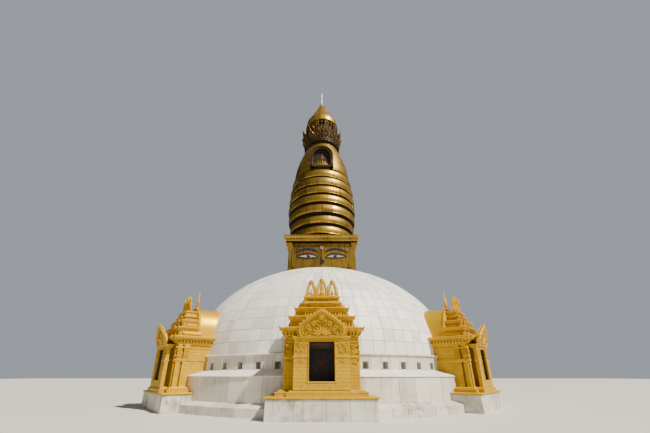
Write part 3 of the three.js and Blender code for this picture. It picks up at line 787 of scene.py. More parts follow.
dark += [stroke(curl, 0.085, FACE, taper=0.5, count=70), disc(0.0, MARK_Z, 0.055, FACE - 0.02)]
dark += with_mirrors([disc(*IRIS, 0.07, FACE - 0.02, 0.012)])
white = with_mirrors([plate(almond, FACE - 0.004, 0.02, 0.004), disc(1.0, 10.53, 0.045, FACE - 0.03, 0.01)])
white.append(disc(0.0, MARK_Z, 0.13, FACE - 0.006))
blue = with_mirrors([disc(*IRIS, 0.155, FACE - 0.012, 0.016, squash=0.95)])
red = with_mirrors([stroke(crease, 0.04, FACE, taper=0.6)]) + [disc(0.0, MARK_Z, 0.17, FACE)]
for colour, shapes in (("dark", dark), ("white", white), ("blue", blue), ("red", red)):
    add_piece(f"eyes_{colour}", four_sides(shapes), f"enamel_{colour}")

# %% [markdown]
# ## The ringed spire
# Each ring is a belt of about twenty curved copper sheets, nailed side by side over a hoop, and
# a dark groove runs over it. A sheet is again a piece of a ring, with a bulging profile and more
# angles in it so that it stays round. Above the rings the collar is clad in four rows of larger
# sheets, and its radius comes from a smooth curve through a few heights.

# %% Seven rings
RING_FEET = np.array([12.52, 13.43, 14.37, 15.35, 16.27, 17.18, 18.17, 19.15])
RING_R = np.array([2.8, 2.92, 3.08, 3.14, 3.1, 3.02, 2.86])
RING_SHARE = 0.76
SEAM_BEVEL = 0.0015


def ring_band(radius, foot, top):
    """A belt's profile: a bulge that is widest a little under its middle, and flat lips at both edges."""
    t = np.linspace(0, 1, 9)
    bulge = radius - 0.08 * ((t - 0.42) / 0.58) ** 2
    heights = foot + 0.05 + (top - foot - 0.09) * t
    lip = [(radius - 0.3, foot), (radius - 0.06, foot), (radius - 0.045, foot + 0.02),
           (radius - 0.05, foot + 0.04)]
    return lip + list(zip(bulge, heights)) + [(radius - 0.095, top - 0.02), (radius - 0.3, top + 0.03)]


groove = [(0.5, 12.2), (2.5, 12.3)]
for number, (radius, foot, after) in enumerate(zip(RING_R, RING_FEET[:-1], RING_FEET[1:]), 1):
    profile = ring_band(radius, foot, foot + RING_SHARE * (after - foot))
    starts, ends = around(20, rng.uniform(0, 2 * np.pi))
    belt = ring_prisms(profile, starts, ends, 0.005, SEAM_BEVEL, steps=6, wander=0.004)
    add_piece(f"spire_band_{number}", [belt], "spire_gilding", replaces=[f"spire_ring_{number}"], smooth=35)
    groove += [(radius - 0.27, foot - 0.014), (radius - 0.064, foot - 0.014), (radius - 0.064, foot - 0.002),
               (radius - 0.27, foot + 0.01), (radius - 0.27, after - 0.03)]
add_piece("spire_grooves", [turned(groove + [(0.5, 19.2)], 96)], "shadow_gap", smooth=30)

# %% Collar
COLLAR_FOOT, COLLAR_TOP = 19.15, 23.42
collar_heights = np.array([COLLAR_FOOT, 19.65, 20.7, 22.5, 23.4])
collar_radii = np.array([2.66, 2.64, 2.43, 1.8, 1.4])


def collar_radius(z):
    """A cubic fitted to the collar's radii."""
    return np.polyval(np.polyfit(collar_heights - 21, collar_radii, 3), np.asarray(z) - 21)


def raised_hoop(r, z, half, lip, sides):
    """A rounded band on a surface of radius r: its profile bulges by 3 cm at the height z."""
    return turned([(r - 0.05, z - half), (r + 0.02, z - 0.03), (r + 0.03, z), (r + lip, z + 0.03),
                   (r - 0.06, z + half)], sides)


collar = []
for low, high, count in ((COLLAR_FOOT, 20.2, 18), (20.2, 21.3, 16), (21.3, 22.4, 14), (22.4, COLLAR_TOP, 12)):
    z = np.linspace(low + 0.005, high, 7)
    outer = np.stack([collar_radius(z) + np.linspace(0.012, 0.0, 7), z], axis=1)
    profile = np.concatenate([outer[:1] - [0.1, 0], outer, outer[-1:] - [0.1, 0]])
    starts, ends = around(count, rng.uniform(0, 1))
    collar.append(ring_prisms(profile, starts, ends, 0.003, SEAM_BEVEL, steps=7, wander=0.003))
z = np.linspace(19.1, COLLAR_TOP, 12)
collar.append(turned(np.stack([collar_radius(z) - 0.04, z], axis=1), 64))
collar += [raised_hoop(collar_radius(height), height, 0.05, 0.015, 96) for height in (19.3, 22.4)]
add_piece("collar_sheets", collar, "spire_gilding", replaces=["spire_collar"], smooth=35)


# %% The collar's arched niche
def arch(half, foot, spring, steps=14):
    """An arched outline from the right foot over to the left foot."""
    turn = np.linspace(0, np.pi, steps)
    curve = np.stack([half * np.cos(turn), spring + half * np.sin(turn)], axis=1)
    return np.concatenate([[(half, foot)], curve, [(-half, foot)]])


def arched_frame(outer, inner, y, depth):
    """A frame between two arched outlines of as many points, open at the foot, as one closed strip."""
    near, far = [[upright(ring, at) for ring in (outer, inner)] for at in (y, y + depth)]
    return ring_stack(np.stack([near[0], near[1], far[1], far[0]], axis=1))


NICHE_Z, NICHE_SPRING = 19.15, 20.5
NICHE_WIDE, NICHE_FRONT, COLUMN_FOOT = 1.05, -2.86, 19.34
outer, middle, inner = (arch(half, NICHE_Z, NICHE_SPRING) for half in (NICHE_WIDE, 0.93, 0.76))
niche = [arched_frame(outer, middle, NICHE_FRONT, 0.75), arched_frame(middle, inner, -2.8, 0.7),
         box((-NICHE_WIDE, NICHE_FRONT, NICHE_Z), (NICHE_WIDE, -2.3, COLUMN_FOOT))]
column = turned([(0.075, COLUMN_FOOT), (0.1, 19.38), (0.07, 19.46), (0.058, 19.7), (0.062, 20.2),
                 (0.075, 20.3), (0.1, 20.34), (0.11, 20.44), (0.08, 20.48)], 12)
niche += [moved(column, x, -2.79) for x in (-0.845, 0.845)]
niche += [disc(0.99 * math.cos(t), NICHE_SPRING + 0.99 * math.sin(t), 0.035, NICHE_FRONT - 0.015,
               thickness=0.03, sides=10) for t in np.linspace(0.12, np.pi - 0.12, 13)]
add_piece("niche_frame", niche, "old_copper", ["collar_niche"], smooth=30)
lotus = [stroke([(x, 19.45), (1.5 * x, 19.9), (0.4 * x, NICHE_SPRING)], 0.14, -2.58, 0.05)
         for x in (-0.3, -0.15, 0.15, 0.3)]
lotus.append(stroke([(0, 19.4), (0.0, 20.0), (0.0, 20.7)], 0.16, -2.6, 0.06))
add_piece("niche_recess", [plate(arch(0.8, 19.2, NICHE_SPRING), -2.55, 0.5)], "shadow_gap")
add_piece("niche_lotus", lotus, "old_copper", smooth=40)

# %% [markdown]
# ## Crown, parasol and mast
# Above the collar sits a tray of tall copper leaves that lean outwards, three rows deep, and the
# parasol covers them. A leaf is a plate cut to a pointed outline and embossed: its rim is a thin
# rolled edge and its middle carries a rib and a boss. The parasol is a turned cone of sheet with
# ribs, and a slender mast with a gem stands on it.

# %% A leaf, and rows of them
def leaf_outline(half, height):
    """Half a leaf from its foot to its point, then mirrored: narrow foot, full middle, drawn-out tip."""
    shares = np.array([(0.45, 0), (0.98, 0.3), (0.86, 0.62), (0.34, 0.84), (0, 1)])
    return with_left(curve_through(shares * [half, height], 16))


def leaf(half, height, lean):
    """A pointed leaf's plate, and its rolled rim, rib and boss, all standing on the origin and leaned."""
    outline = leaf_outline(half, height)
    bosses = [disc(0, height * 0.42, half * size, -0.012 * (index + 1), 0.03, 14)
              for index, size in enumerate((0.42, 0.28, 0.14))]
    spine = [(0, height * share) for share in (0.56, 0.75, 0.94)]
    rib = stroke(spine, half * 0.16, -0.01, 0.02, 10, sides=6)
    parts = [plate(outline, 0, 0.05), swept(upright(outline, -0.01), 0.026, 0.03, 6), rib, *bosses]
    return [tilted(part, lean) for part in parts]


def in_a_ring(shapes, count, radius, z, offset=0.0):
    """The shapes carried out to a radius and up to z, and repeated all the way round, piece after piece."""
    shapes = [moved(shape, y=-radius, z=z) for shape in shapes]
    return [rotated(shape, 2 * math.pi * (index + offset) / count)
            for index in range(count) for shape in shapes]


plates, trims = [], []
for count, radius, foot, half, height, offset, lean in ((12, 1.64, 23.6, 0.31, 2.1, 0.5, 0.22),
                                                        (12, 1.5, 23.6, 0.26, 1.7, 0.0, 0.22),
                                                        (16, 1.66, 23.55, 0.26, 1.15, 0.5, 0.4)):
    flat, *raised = leaf(half, height, lean)
    plates += in_a_ring([flat], count, radius, foot, offset)
    trims += in_a_ring(raised, count, radius, foot, offset)
add_piece("crown_leaf_plates", plates, "old_copper", ["crown_leaves"])
add_piece("crown_leaf_rims", trims, "crown_gilding", smooth=40)

# %% Tray, parasol and mast
tray = [(1.0, 23.36), (1.5, 23.37), (1.74, 23.4), (1.81, 23.46), (1.81, 23.54), (1.76, 23.6),
        (1.7, 23.62), (1.72, 23.72), (1.68, 23.84), (1.5, 23.86), (1.1, 23.7), (1.06, 24.1), (1.02, 24.8),
        (1.08, 25.4), (1.2, 25.9), (1.3, 26.1), (0.5, 26.12)]
petals = in_a_ring([tilted(plate(leaf_outline(0.17, 0.34) * [1, -1], 0, 0.03), -0.3)], 30, 1.72, 23.48)
drop = turned([(0.004, -0.3), (0.05, -0.24), (0.062, -0.18), (0.03, -0.12), (0.02, -0.02), (0.035, 0.0),
               (0.004, 0.02)], 8)
add_piece("crown_tray", [turned(tray, 72), *petals], "old_copper", ["crown_drum"], smooth=35)
add_piece("crown_drops", in_a_ring([drop], 28, 1.56, 26.06), "crown_gilding", smooth=50)

cone = curve_through([(1.65, 26.1), (1.68, 26.26), (1.56, 26.9), (1.18, 27.7), (0.86, 28.3), (0.56, 29.0),
                      (0.17, 29.75)], 40)
skirt = turned([(0.6, 26.14), (1.6, 26.1), *cone[:-1], (0.17, 29.74), (0.02, 29.76)], 96)
line = cone[6:-2]
rib = swept(np.column_stack([0 * line[:, 0], -line[:, 0], line[:, 1]]), 0.022, 0.022, 6)
hoops = [raised_hoop(r, z, 0.04, 0.01, 64) for r, z in ((1.555, 26.9), (0.86, 28.3), (0.36, 29.4))]
add_piece("parasol_cone", [skirt, *in_a_ring([rib], 16, 0, 0), *hoops], "spire_gilding",
          replaces=["parasol"], smooth=35)
rim = [(1.6, 26.1), (1.675, 26.11), (1.7, 26.15), (1.7, 26.24), (1.68, 26.27), (1.6, 26.28)]
add_piece("parasol_rim", [turned(rim, 96)], "crown_gilding", smooth=30)
mast = [(0.02, 29.7), (0.13, 29.72), (0.15, 29.8), (0.09, 29.86), (0.15, 29.94), (0.145, 30.02),
        (0.08, 30.12), (0.05, 30.2), (0.06, 30.26), (0.05, 30.32), (0.046, 30.9), (0.06, 30.95),
        (0.045, 31.0), (0.04, 31.5), (0.05, 31.55), (0.03, 31.65), (0.004, 31.75)]
add_piece("mast", [turned(mast, 20)], "mast_metal", replaces=["pinnacle"], smooth=40)

# %% [markdown]
# ## The small shrines
# Seven equal shrines stand against the drum, so one is modelled facing -Y and then turned by
# sevenths of a circle. A shrine like this is brick under painted plaster: a marble plinth, a
# stepped foot, coursed walls between corner pilasters, a door surround that stands forward, and
# a roof of shrinking eaves. First come the tools that it needs more than once: a wall of blocks
# in running bond, a plan with a projecting middle, beads, scrolls and horns.

# %% Blocks, bays, beads, scrolls and horns
COURSE, BLOCK_JOINT = 0.145, 0.004


def coursed(x0, x1, z0, z1, y, length=0.3):
    """A wall of blocks in the plane y, each course shifted by half a block against the last."""
    z = np.linspace(z0, z1, max(1, round((z1 - z0) / COURSE)) + 1)
    corners = []
    for row, (low, high) in enumerate(zip(z[:-1] + BLOCK_JOINT, z[1:] - BLOCK_JOINT)):
        inner = np.arange(x0 + length * (0.5 if row % 2 else 1.0), x1 - 0.07, length)
        edges = np.concatenate([[x0], inner, [x1]])
        left, right = edges[:-1] + BLOCK_JOINT, edges[1:] - BLOCK_JOINT
        x = np.stack([left, right, right, left], axis=-1)
        height = np.broadcast_to([low, low, high, high], x.shape)
        corners.append(np.stack([x, np.full(x.shape, y), height], axis=-1))
    corners = np.concatenate(corners)
    corners[..., 1] += rng.uniform(0, 0.001, len(corners))[:, None]
    return slabs(corners, 0.02, 0.005)


def bay_plan(half, front, bay_half, bay_front, back):
    """A plan whose front has a projecting middle, walked anticlockwise from the front left corner."""
    return np.array([(-half, -front), (-bay_half, -front), (-bay_half, -bay_front), (bay_half, -bay_front),
                     (bay_half, -front), (half, -front), (half, -back), (-half, -back)], float)


def bead_row(points, radius):
    """A round bead at each point: a small turned ball of six sides."""
    ball = turned(radius * np.array([(0.35, -0.9), (0.9, -0.4), (0.9, 0.4), (0.35, 0.9)]), 6)
    return [moved(ball, *point) for point in points]


def scroll(x, z, size, turns, start, side, y, width=0.045, depth=0.03):
    """A carved scroll: a spiral that opens into a tail, as one thick stroke; side -1 turns the other way."""
    t = np.linspace(0, 1, 9)
    angle = start + side * 2 * np.pi * turns * t
    radius = size * (0.18 + 0.82 * t)
    spiral = np.stack([x + radius * np.cos(angle), z + radius * np.sin(angle)], axis=1)
    along = spiral[-1] - spiral[-2]
    end = spiral[-1] + along / np.linalg.norm(along) * size * 1.5
    return stroke([*spiral, end], width, y, depth, 26, 0.6, 6)


def petal(x, z, angle, length, width, y, depth=0.028):
    """One carved leaf, as a stroke from (x, z) outwards at this angle."""
    reach = np.array([math.cos(angle), math.sin(angle)])
    line = [np.array([x, z]) + reach * length * share for share in (0.0, 0.5, 1.0)]
    return stroke(line, width, y, depth, 7, 0.8, 6)


def fan(x, z, angles, length, width, y, hole=(0.0, 0.0), depth=0.028):
    """Petals at these angles, starting on the edge of an oval hole round one point."""
    return [petal(x + hole[0] * math.cos(a), z + hole[1] * math.sin(a), a, length, width, y, depth)
            for a in angles]


def horn(x, y, z, out, length=0.13):
    """An upturned tip at an eave's corner: a tapering tube that leaves sideways and ends pointing up."""
    t = np.linspace(0, 1, 7)[:, None]
    out = np.append(np.asarray(out, float) / np.linalg.norm(out), 0.0)
    path = np.array([x, y, z]) + out * (0.06 * np.sin(t * np.pi / 2)) + np.array([0, 0, 1]) * length * t**1.6
    return swept(path + out * -0.03, 0.032 * (1 - 0.85 * t[:, 0]), sides=6)


# %% [markdown]
# ## Depths and heights of a shrine
# Depths are measured forwards from the stupa's axis and heights from the ground, as on the
# solids. The door surround stands a hand's width clear of the pilasters, so that the passage
# behind it stays dark, and its gable leans out over the visitor.

# %% One set of measures
PLINTH_Y, LEDGE_Y, BODY_Y, PILASTER_Y, PORTAL_Y = 11.6, 11.66, 11.05, 11.17, 11.55
PLINTH_HALF, PLINTH_BACK, PILASTER_BACK, PORTAL_BACK, SHRINE_BACK = 2.28, -9.8, 10.5, 11.37, 9.3
DOOR_HALF, DOOR_SILL, DOOR_HEAD, DOOR_BACK = 0.545, 1.45, 3.03, 10.53
PILASTER_X, STEP_X, SIDE_X, REAR_X, PORTAL_HALF = 1.215, 1.51, 1.65, 1.56, 1.19
FOOT_TOP, WALL_HEAD, CAPITAL_Z, NECKING_Z, BLOCKS_TOP, GABLE_FOOT = 1.13, 3.25, 2.43, 3.07, 3.0, 3.2
ROUGH_FOOT, ROUGH_TOP, ROUGH_IN = 1.12, 3.3, 0.015
PILASTER_STEP, GROOVE_HALF = 0.06, 0.05
GROOVE_Y = -(PILASTER_Y + PILASTER_BACK) / 2
GROOVE_FRONT, GROOVE_REAR = GROOVE_Y - GROOVE_HALF, GROOVE_Y + GROOVE_HALF


# %% Plinth
def plinth_shapes():
    """White slabs four abreast on the front and two on each side, over a plain core."""
    heights = np.array([0.0, 0.8])
    front = sheet_grid(np.linspace(-PLINTH_HALF, PLINTH_HALF, 5), heights, -PLINTH_Y)
    side = on_the_right(sheet_grid(np.array([-PLINTH_Y, -10.7, PLINTH_BACK]), heights, -PLINTH_HALF))
    core = moulded(rectangle(-2.25, 2.25, 0.03 - PLINTH_Y, PLINTH_BACK), [(0, 0.0), (0, 0.79)])
    return [front, *both_sides([side]), core]


# %% [markdown]
# ## Walls and doorway
# The doorway is a real hole. Its walls are built round it the way a mason would: a sill, two
# jambs and a lintel, a lining painted near-black as shade, and a painted flower panel at the back.
# The scrolls beside the door head are modelled strokes, because light has to catch on their ridges.

# %% House walls
def stepped_foot():
    """The gold ledge and the two mouldings under the walls, which step forward in the middle."""
    ledge = moulded(rectangle(-2.35, 2.35, -LEDGE_Y, PLINTH_BACK),
                    [(-0.09, 0.79), (-0.07, 0.8), (-0.02, 0.815), (0, 0.83), (0, 0.865), (-0.012, 0.88),
                     (-0.4, 0.895)])
    low = moulded(bay_plan(1.94, BODY_Y + 0.3, 1.45, PLINTH_Y, 9.5),
                  [(0, 0.87), (0, 1.0), (0.012, 1.015), (0.012, 1.035), (-0.01, 1.05), (-0.2, 1.055)])
    high = moulded(bay_plan(1.84, BODY_Y + 0.22, 1.36, PORTAL_Y + 0.02, 9.4),
                   [(-0.01, 1.04), (0, 1.055), (0, 1.085), (-0.02, 1.1), (-0.06, 1.11), (-0.07, 1.13),
                    (-0.3, 1.135)])
    return [ledge, low, high]


def rough_walls():
    """The masonry behind the blocks, round the doorway, in painted shade: it is what shows in the joints and
    grooves.
    """
    inner = DOOR_HALF + 0.005
    body, pilaster, back = ROUGH_IN - BODY_Y, ROUGH_IN - PILASTER_Y, -SHRINE_BACK
    sides = [box((x0, y0, ROUGH_FOOT), (x1, y1, ROUGH_TOP))
             for x0, x1, y0, y1 in ((inner, 1.545, body, back), (1.22, 1.5, pilaster, -PILASTER_BACK),
                                    (1.45, 1.635, pilaster + PILASTER_STEP, GROOVE_FRONT),
                                    (1.45, 1.635, GROOVE_REAR, -PILASTER_BACK))]
    return both_sides(sides) + [box((-inner, body, ROUGH_FOOT), (inner, -DOOR_BACK, DOOR_SILL)),
                                box((-inner, body, DOOR_HEAD), (inner, back, ROUGH_TOP)),
                                box((-inner, 0.01 - DOOR_BACK, 1.2), (inner, back, 3.1))]


def house_shapes():
    """Stepped foot, walls of blocks round the doorway, corner pilasters, and the bands that cross them."""
    shapes = stepped_foot()
    for x0, x1, z0, z1, y in ((PILASTER_X, STEP_X, FOOT_TOP, CAPITAL_Z - 0.05, PILASTER_Y),
                              (STEP_X + 0.005, SIDE_X, FOOT_TOP, WALL_HEAD, PILASTER_Y - PILASTER_STEP),
                              (PILASTER_X, STEP_X, CAPITAL_Z + 0.05, WALL_HEAD, PILASTER_Y),
                              (0.72, PILASTER_X, FOOT_TOP, WALL_HEAD, BODY_Y)):
        shapes += both_sides([coursed(x0, x1, z0, z1, -y)])
    for y0, y1, x in ((PILASTER_STEP - PILASTER_Y, GROOVE_FRONT, SIDE_X),
                      (GROOVE_REAR, -PILASTER_BACK, SIDE_X), (-PILASTER_BACK, -9.35, REAR_X)):
        shapes += both_sides([on_the_right(coursed(y0, y1, FOOT_TOP, WALL_HEAD, -x))])
    capital = [(-0.05, -0.1), (-0.01, -0.085), (0.0, -0.06), (0.015, -0.045), (0.04, -0.03), (0.045, 0.01),
               (0.02, 0.025), (0.03, 0.04), (0.03, 0.06), (-0.05, 0.07)]
    necking = [(-0.05, -0.05), (0.0, -0.04), (0.03, -0.02), (0.03, 0.02), (0.0, 0.04), (-0.05, 0.05)]
    for plan in (rectangle(PILASTER_X, SIDE_X, -PILASTER_Y, -PILASTER_BACK),
                 rectangle(1.0, REAR_X, -PILASTER_BACK - 0.1, -SHRINE_BACK)):
        shapes += both_sides([moulded(plan, [(depth, middle + z) for depth, z in profile])
                              for middle, profile in ((CAPITAL_Z, capital), (NECKING_Z, necking))])
    return shapes


def carving_shapes():
    """Scrolls and leaves on the pilasters over the capitals, and a drop of leaves below them."""
    y = -PILASTER_Y - 0.005
    one = [scroll(*row, y) for row in ((1.34, 2.86, 0.085, 1.3, 0.4, 1), (1.53, 2.66, 0.08, 1.3, 3.6, 1),
                                       (1.52, 2.9, 0.06, 1.2, 2.2, -1), (1.34, 2.62, 0.07, 1.2, 5.4, -1))]
    one += fan(1.43, 2.55, (0.9, 1.57, 2.2), 0.2, 0.06, y)
    one += fan(1.43, 2.3, (-0.9, -1.25, -1.57, -1.9, -2.25), 0.17, 0.06, y)
    one += bead_row([(x, y - 0.005, 3.0) for x in np.arange(1.24, 1.64, 0.045)], 0.015)
    side = [scroll(GROOVE_Y + shift, *row, -SIDE_X - 0.005)
            for shift, *row in ((-0.18, 2.86, 0.085, 1.3, 0.4, 1), (0.18, 2.68, 0.085, 1.3, 3.6, 1),
                                (0.17, 2.92, 0.06, 1.3, 2.2, -1), (-0.18, 2.64, 0.07, 1.3, 5.4, -1))]
    return both_sides(one + [on_the_right(part) for part in side])


def carving_ground():
    """Thin panels in painted shade behind the carving over the capitals, on the front and on the side."""
    stepped = PILASTER_STEP - PILASTER_Y
    return both_sides([box((x0, y0, 2.53), (x1, y1, top), 0.002) for x0, x1, y0, y1, top in (
        (1.225, 1.5, -PILASTER_Y - 0.003, -PILASTER_Y + 0.03, 3.01),
        (1.5, SIDE_X + 0.003, stepped - 0.003, GROOVE_FRONT - 0.02, 3.01),
        (1.6, SIDE_X + 0.003, GROOVE_REAR + 0.02, -PILASTER_BACK - 0.02, 3.01),
        (0.67, 1.16, -PORTAL_Y - 0.003, -PORTAL_Y + 0.03, 2.99))])


# %% Door surround
def portal_shapes():
    """Jambs and sill of blocks, a moulded lintel, and a fillet with beads round the hole."""
    inner, foot, top = DOOR_HALF + 0.004, ROUGH_FOOT, GABLE_FOOT
    face, back, wall = 0.015 - PORTAL_Y, -PORTAL_BACK, 0.01 - BODY_Y
    shapes = both_sides([box((inner, face, foot), (PORTAL_HALF - 0.015, back, top)),
                         box((inner, face + 0.05, foot), (0.715, wall, top)),
                         coursed(DOOR_HALF + 0.04, PORTAL_HALF, FOOT_TOP, BLOCKS_TOP, -PORTAL_Y),
                         on_the_right(coursed(-PORTAL_Y, back, FOOT_TOP, BLOCKS_TOP, -PORTAL_HALF, 0.5))])
    shapes += [box((-inner, face, foot), (inner, wall, DOOR_SILL - 0.002)),
               box((-inner, face, DOOR_HEAD + 0.002), (inner, wall, top)),
               coursed(-DOOR_HALF, DOOR_HALF, FOOT_TOP, DOOR_SILL, -PORTAL_Y)]
    proud, behind, fillet = -PORTAL_Y - 0.015, 0.05 - PORTAL_Y, DOOR_HEAD + 0.05
    upright_fillet = box((DOOR_HALF, proud, DOOR_SILL - 0.03), (DOOR_HALF + 0.045, behind, fillet), 0.008)
    shapes += both_sides([upright_fillet])
    shapes += [box((-DOOR_HALF, proud, DOOR_HEAD), (DOOR_HALF, behind, fillet), 0.008),
               box((-DOOR_HALF - 0.1, proud - 0.01, DOOR_SILL - 0.05), (DOOR_HALF + 0.1, behind, DOOR_SILL))]
    capital = [(-0.03, 2.35), (0.0, 2.36), (0.03, 2.39), (0.035, 2.43), (0.01, 2.45), (0.02, 2.48),
               (-0.03, 2.49)]
    shapes += both_sides([moulded(rectangle(0.62, PORTAL_HALF, -PORTAL_Y, back), capital)])
    lintel = [(-0.06, 3.04), (-0.02, 3.05), (0.0, 3.07), (0.0, 3.1), (0.02, 3.11), (0.02, 3.15),
              (0.045, 3.165), (0.07, 3.2), (0.07, 3.235), (0.03, 3.25), (-0.1, 3.255)]
    shapes.append(moulded(rectangle(-PORTAL_HALF, PORTAL_HALF, -PORTAL_Y, back + 0.1), lintel))
    shapes += [box((x - 0.018, proud - 0.02, 3.105), (x + 0.018, behind, 3.15), 0.004)
               for x in np.arange(-1.15, 1.16, 0.072)]
    beads = np.arange(DOOR_SILL + 0.04, DOOR_HEAD, 0.075)
    shapes += both_sides(bead_row([(DOOR_HALF + 0.024, proud - 0.008, z) for z in beads], 0.024))
    y = -PORTAL_Y - 0.005
    carved = [scroll(*row, y) for row in ((0.74, 2.86, 0.075, 1.3, 0.4, 1), (0.98, 2.9, 0.07, 1.3, 2.9, -1),
                                          (0.84, 2.66, 0.06, 1.2, 3.6, 1), (1.05, 2.68, 0.055, 1.2, 0.2, 1))]
    carved += fan(0.88, 2.34, (-0.8, -1.2, -1.57, -1.95, -2.35), 0.16, 0.05, y)
    carved += fan(0.87, 2.93, (0.6, 1.57, 2.5), 0.1, 0.045, y)
    return shapes + both_sides(carved)


# %% [markdown]
# ## The leaning gable
# Over the door hangs a pointed gable, a little more than a metre high, which leans outwards. It
# is modelled lying flat against an upright plane and then leaned as one. Its rim is a double
# moulding, and its field is filled with a fan of leaves, scrolls and one large rosette, so that
# the relief has big, middle and small forms.

# %% Gable
GABLE_HEIGHT, GABLE_LEAN = 1.17, 0.28
EIGHT_WAYS = np.linspace(0, 2 * np.pi, 8, endpoint=False)


def gable_outline(share=1.0):
    """Foot, widest part, shoulder, straight slope to the point, and back down; share draws it in."""
    side = np.array([(0.88, 0), (0.99, 0.15), (1.0, 0.3), (0.93, 0.48)]) * [1, GABLE_HEIGHT]
    slope = np.array([(0.93, 0.48), (0.52, 0.75), (0.19, 0.93), (0.0, 1.0)]) * [1, GABLE_HEIGHT]
    right = np.concatenate([curve_through(side, 8), curve_through(slope, 9)[1:]])
    middle = np.array([0.0, GABLE_HEIGHT * 0.36])
    return middle + share * (with_left(right) - middle)


def hung(shapes):
    """Shapes made upright, leaned over the door."""
    return [moved(tilted(shape, GABLE_LEAN), y=-PORTAL_Y - 0.06, z=GABLE_FOOT) for shape in shapes]


def gable_shapes():
    """The plate, its rims with beads between them, and the carving on its field."""
    outline, rim_y, field_y = gable_outline(), -0.008, -0.015
    shapes = [plate(outline, 0.0, 0.13)]
    for share, width in ((0.955, 0.045), (0.83, 0.024)):
        line = gable_outline(share)
        shapes += [swept(upright(line, rim_y), width, 0.042, 6),
                   stroke([line[0], [0, line[0, 1]], line[-1]], width * 1.8, rim_y, 0.036, 12, 0.1, 6)]
    shapes += bead_row([(x, field_y, z) for x, z in gable_outline(0.89)[1:-1]], 0.024)
    shapes += [petal(x, z, math.atan2(z - 0.3, x), 0.085, 0.07, 0.03) for x, z in outline[2:-2]]
    shapes += fan(0.0, 0.09, np.linspace(0.25, np.pi - 0.25, 8), 0.34, 0.1, field_y, (0.08, 0.06), 0.042)
    half = [scroll(*row) for row in ((0.33, 0.58, 0.105, 1.4, 0.5, 1, -0.02, 0.055),
                                     (0.6, 0.42, 0.1, 1.4, 2.6, -1, -0.02, 0.055),
                                     (0.17, 0.7, 0.05, 1.2, 5.4, -1, -0.02, 0.042),
                                     (0.66, 0.15, 0.07, 1.2, 1.0, 1, -0.02, 0.045),
                                     (1.0, 0.03, 0.1, 1.3, 3.4, 1, 0.03, 0.06))]
    half += fan(0.47, 0.28, (0.1, 0.8, 1.5), 0.15, 0.06, field_y)
    half += [disc(0.93, 0.56, 0.065, -0.03, 0.06, 12)]
    rosette = fan(0.0, 0.86, EIGHT_WAYS, 0.105, 0.07, -0.025, (0.035, 0.035))
    rosette.append(disc(0.0, 0.86, 0.042, -0.045, 0.03, 10))
    return hung(shapes + both_sides(half) + rosette)


# %% Inside the doorway
def lining_shapes():
    """Walls inside the opening, down to the back of the niche, and a scalloped valance at its head, all
    near-black as painted shade.
    """
    deep, near = -DOOR_BACK, 0.07 - PORTAL_Y
    side = box((DOOR_HALF - 0.004, near, DOOR_SILL), (DOOR_HALF + 0.03, deep, DOOR_HEAD), 0.002)
    scallops = [disc(x, 2.84, 0.075, -11.1, 0.02, 16) for x in np.linspace(-0.46, 0.46, 7)]
    across = [box((-DOOR_HALF, y0, z0), (DOOR_HALF, y1, z1), 0.002)
              for y0, y1, z0, z1 in ((near, deep, DOOR_HEAD - 0.004, DOOR_HEAD + 0.03),
                                     (near, deep, DOOR_SILL - 0.03, DOOR_SILL + 0.004),
                                     (deep - 0.004, deep + 0.03, DOOR_SILL, DOOR_HEAD))]
    return both_sides([side]) + scallops + across + [box((-0.54, -11.105, 2.83), (0.54, -11.07, 2.9), 0.003)]


def red_shapes():
    """The red head board over the valance, and the red flowers of the painted panel."""
    board = box((-0.54, -11.12, 2.89), (0.54, -11.08, 3.02), 0.003)
    y = -DOOR_BACK - 0.015
    petals = fan(0.0, 2.2, EIGHT_WAYS, 0.16, 0.075, y, (0.02, 0.02), 0.008)
    small = [disc(x, z, 0.035, y, 0.015, 10) for z in (2.45, 1.9) for x in (-0.27, 0.27)]
    return [board, *petals, *small]


def blue_shapes():
    """Blue scrolls and a thin border round the painted panel's flower."""
    y = -DOOR_BACK - 0.01
    scrolls = [scroll(*row, y, 0.03, 0.01)
               for row in ((0.26, 2.3, 0.09, 1.2, 0.5, 1), (0.26, 2.02, 0.08, 1.2, 5.6, -1),
                           (0.14, 2.56, 0.06, 1.2, 1.0, 1), (0.14, 1.76, 0.06, 1.2, 5.0, -1))]
    return both_sides(scrolls + [stroke([(0.42, 1.6), (0.42, 2.1), (0.42, 2.66)], 0.02, y, 0.008, 8, 0.2, 6)])


# %% [markdown]
# ## The roof
# The roof is a pile of eaves, each smaller and further back than the one below. An eave is one
# moulding: a shadowed hollow under it, a thin bright lip, and a slope on top. Between two eaves
# swells a cushion. At every corner the lip turns up into a small horn. Behind the pile rises a
# barrel vault with a fat smooth rim, and it carries a ringed spike.

# %% Eaves, cushions and horns
# Each eave: half width, front, foot, top, and the half width and front of the neck under it.
EAVES = [(1.88, 11.42, 3.45, 3.66, 1.66, 11.18), (1.52, 11.25, 3.98, 4.18, 1.4, 11.1),
         (1.27, 11.05, 4.4, 4.6, 1.18, 10.94), (0.93, 10.87, 4.74, 4.88, 0.86, 10.78)]
BLOCK_HALF, BLOCK_Y, BLOCK_FOOT, BLOCK_TOP = 0.81, 10.74, 4.88, 5.2
ROOF_BACK, UPPER_BACK, FRIEZE_RETURN, BAY_IN = 8.4, 10.08, 0.34, 0.33
CORNICE_PLAN = bay_plan(1.62, 11.12, 1.2, 11.14, 9.2)


